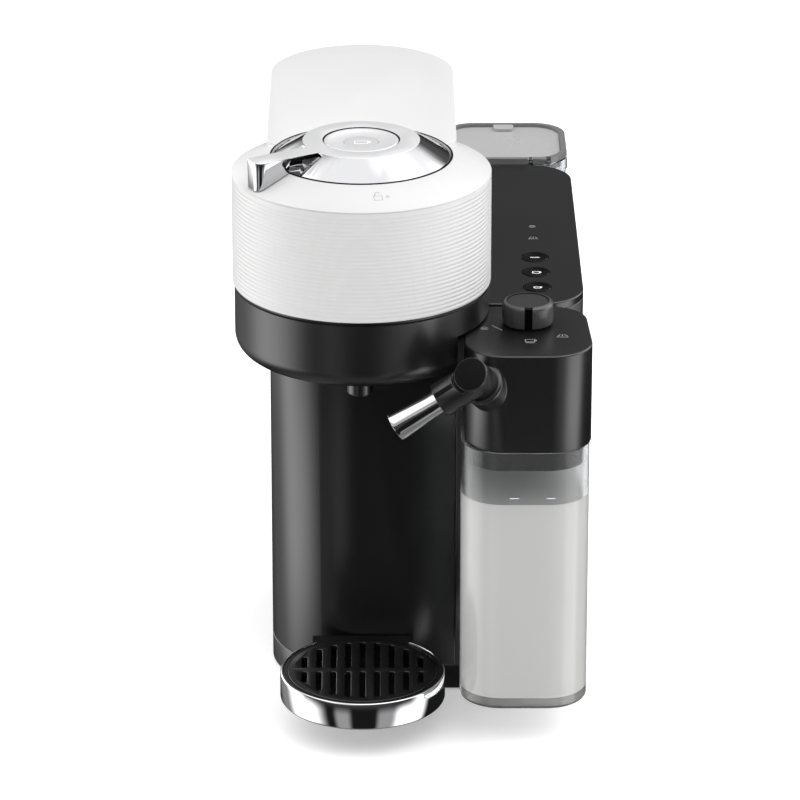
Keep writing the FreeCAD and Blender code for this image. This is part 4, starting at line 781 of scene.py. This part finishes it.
world = bpy.data.worlds.new("studio")
world.use_nodes = True
worldTree = world.node_tree
skyDirection = addNode(worldTree, "ShaderNodeSeparateXYZ")
worldTree.links.new(addNode(worldTree, "ShaderNodeTexCoord").outputs["Generated"], skyDirection.inputs[0])
turnAngle = mathNode(worldTree, "ARCTAN2", skyDirection.outputs["X"],
                     mathNode(worldTree, "MULTIPLY", skyDirection.outputs["Y"], -1.0))
riseAngle = mathNode(worldTree, "ARCSINE", skyDirection.outputs["Z"], None)


# 0 at the start angle and 1 at the end angle, in degrees
def fade(value, start, end):
    node = addNode(worldTree, "ShaderNodeMapRange", interpolation_type="SMOOTHSTEP")
    node.inputs["From Min"].default_value = math.radians(start)
    node.inputs["From Max"].default_value = math.radians(end)
    worldTree.links.new(value, node.inputs["Value"])
    return node.outputs["Result"]


# 1 within a panel's turn, 0 beyond it; the difference is taken the short way round
def aside(turn, half, soft):
    offset = mathNode(worldTree, "SUBTRACT", turnAngle, math.radians(turn))
    wrapped = mathNode(worldTree, "WRAP", offset, math.pi, -math.pi)
    away = mathNode(worldTree, "ABSOLUTE", wrapped, None)
    return mathNode(worldTree, "SUBTRACT", 1.0, fade(away, half - soft / 2, half + soft / 2))


# 1 between two heights above the horizon, with soft ends
def raisedBetween(low, high):
    above = fade(riseAngle, low - studio["lowFade"], low + studio["lowFade"])
    past = fade(riseAngle, high - studio["highFade"], high + studio["highFade"])
    return mathNode(worldTree, "MULTIPLY", above, mathNode(worldTree, "SUBTRACT", 1.0, past))


glow = studio["ambient"]
for part in ("below", "sky", "top"):
    share = fade(riseAngle, *studio[part]["rise"])
    glow = mathNode(worldTree, "MULTIPLY_ADD", share, studio[part]["power"], glow)
for panel in studio["panels"]:
    across = aside(panel["turn"], panel["half"], panel["soft"])
    mask = mathNode(worldTree, "MULTIPLY", across, raisedBetween(*panel["rise"]))
    glow = mathNode(worldTree, "MULTIPLY_ADD", mask, panel["power"], glow)
worldTree.nodes["Background"].inputs["Color"].default_value = (1, 1, 1, 1)
worldTree.links.new(glow, worldTree.nodes["Background"].inputs["Strength"])
bpy.context.scene.world = world

# pale floor that doesn't show in reflections
floorLook = {"half": 6.0, "tone": 0.8, "roughness": 0.8, "glow": 0.35}
floorMesh = bpy.data.meshes.new("floor")
floorBm = bmesh.new()
bmesh.ops.create_grid(floorBm, x_segments=1, y_segments=1, size=floorLook["half"])
floorBm.to_mesh(floorMesh)
floorBm.free()
floor = bpy.data.objects.new("floor", floorMesh)
bpy.context.collection.objects.link(floor)
floorPaint, _, floorShader = newMaterial("floorPaint")
setShader(floorShader, Base_Color=(*[floorLook["tone"]] * 3, 1), Roughness=floorLook["roughness"],
          Emission_Color=(1, 1, 1, 1), Emission_Strength=floorLook["glow"])
floorMesh.materials.append(floorPaint)
floor.visible_glossy = False
print("camera and light set")
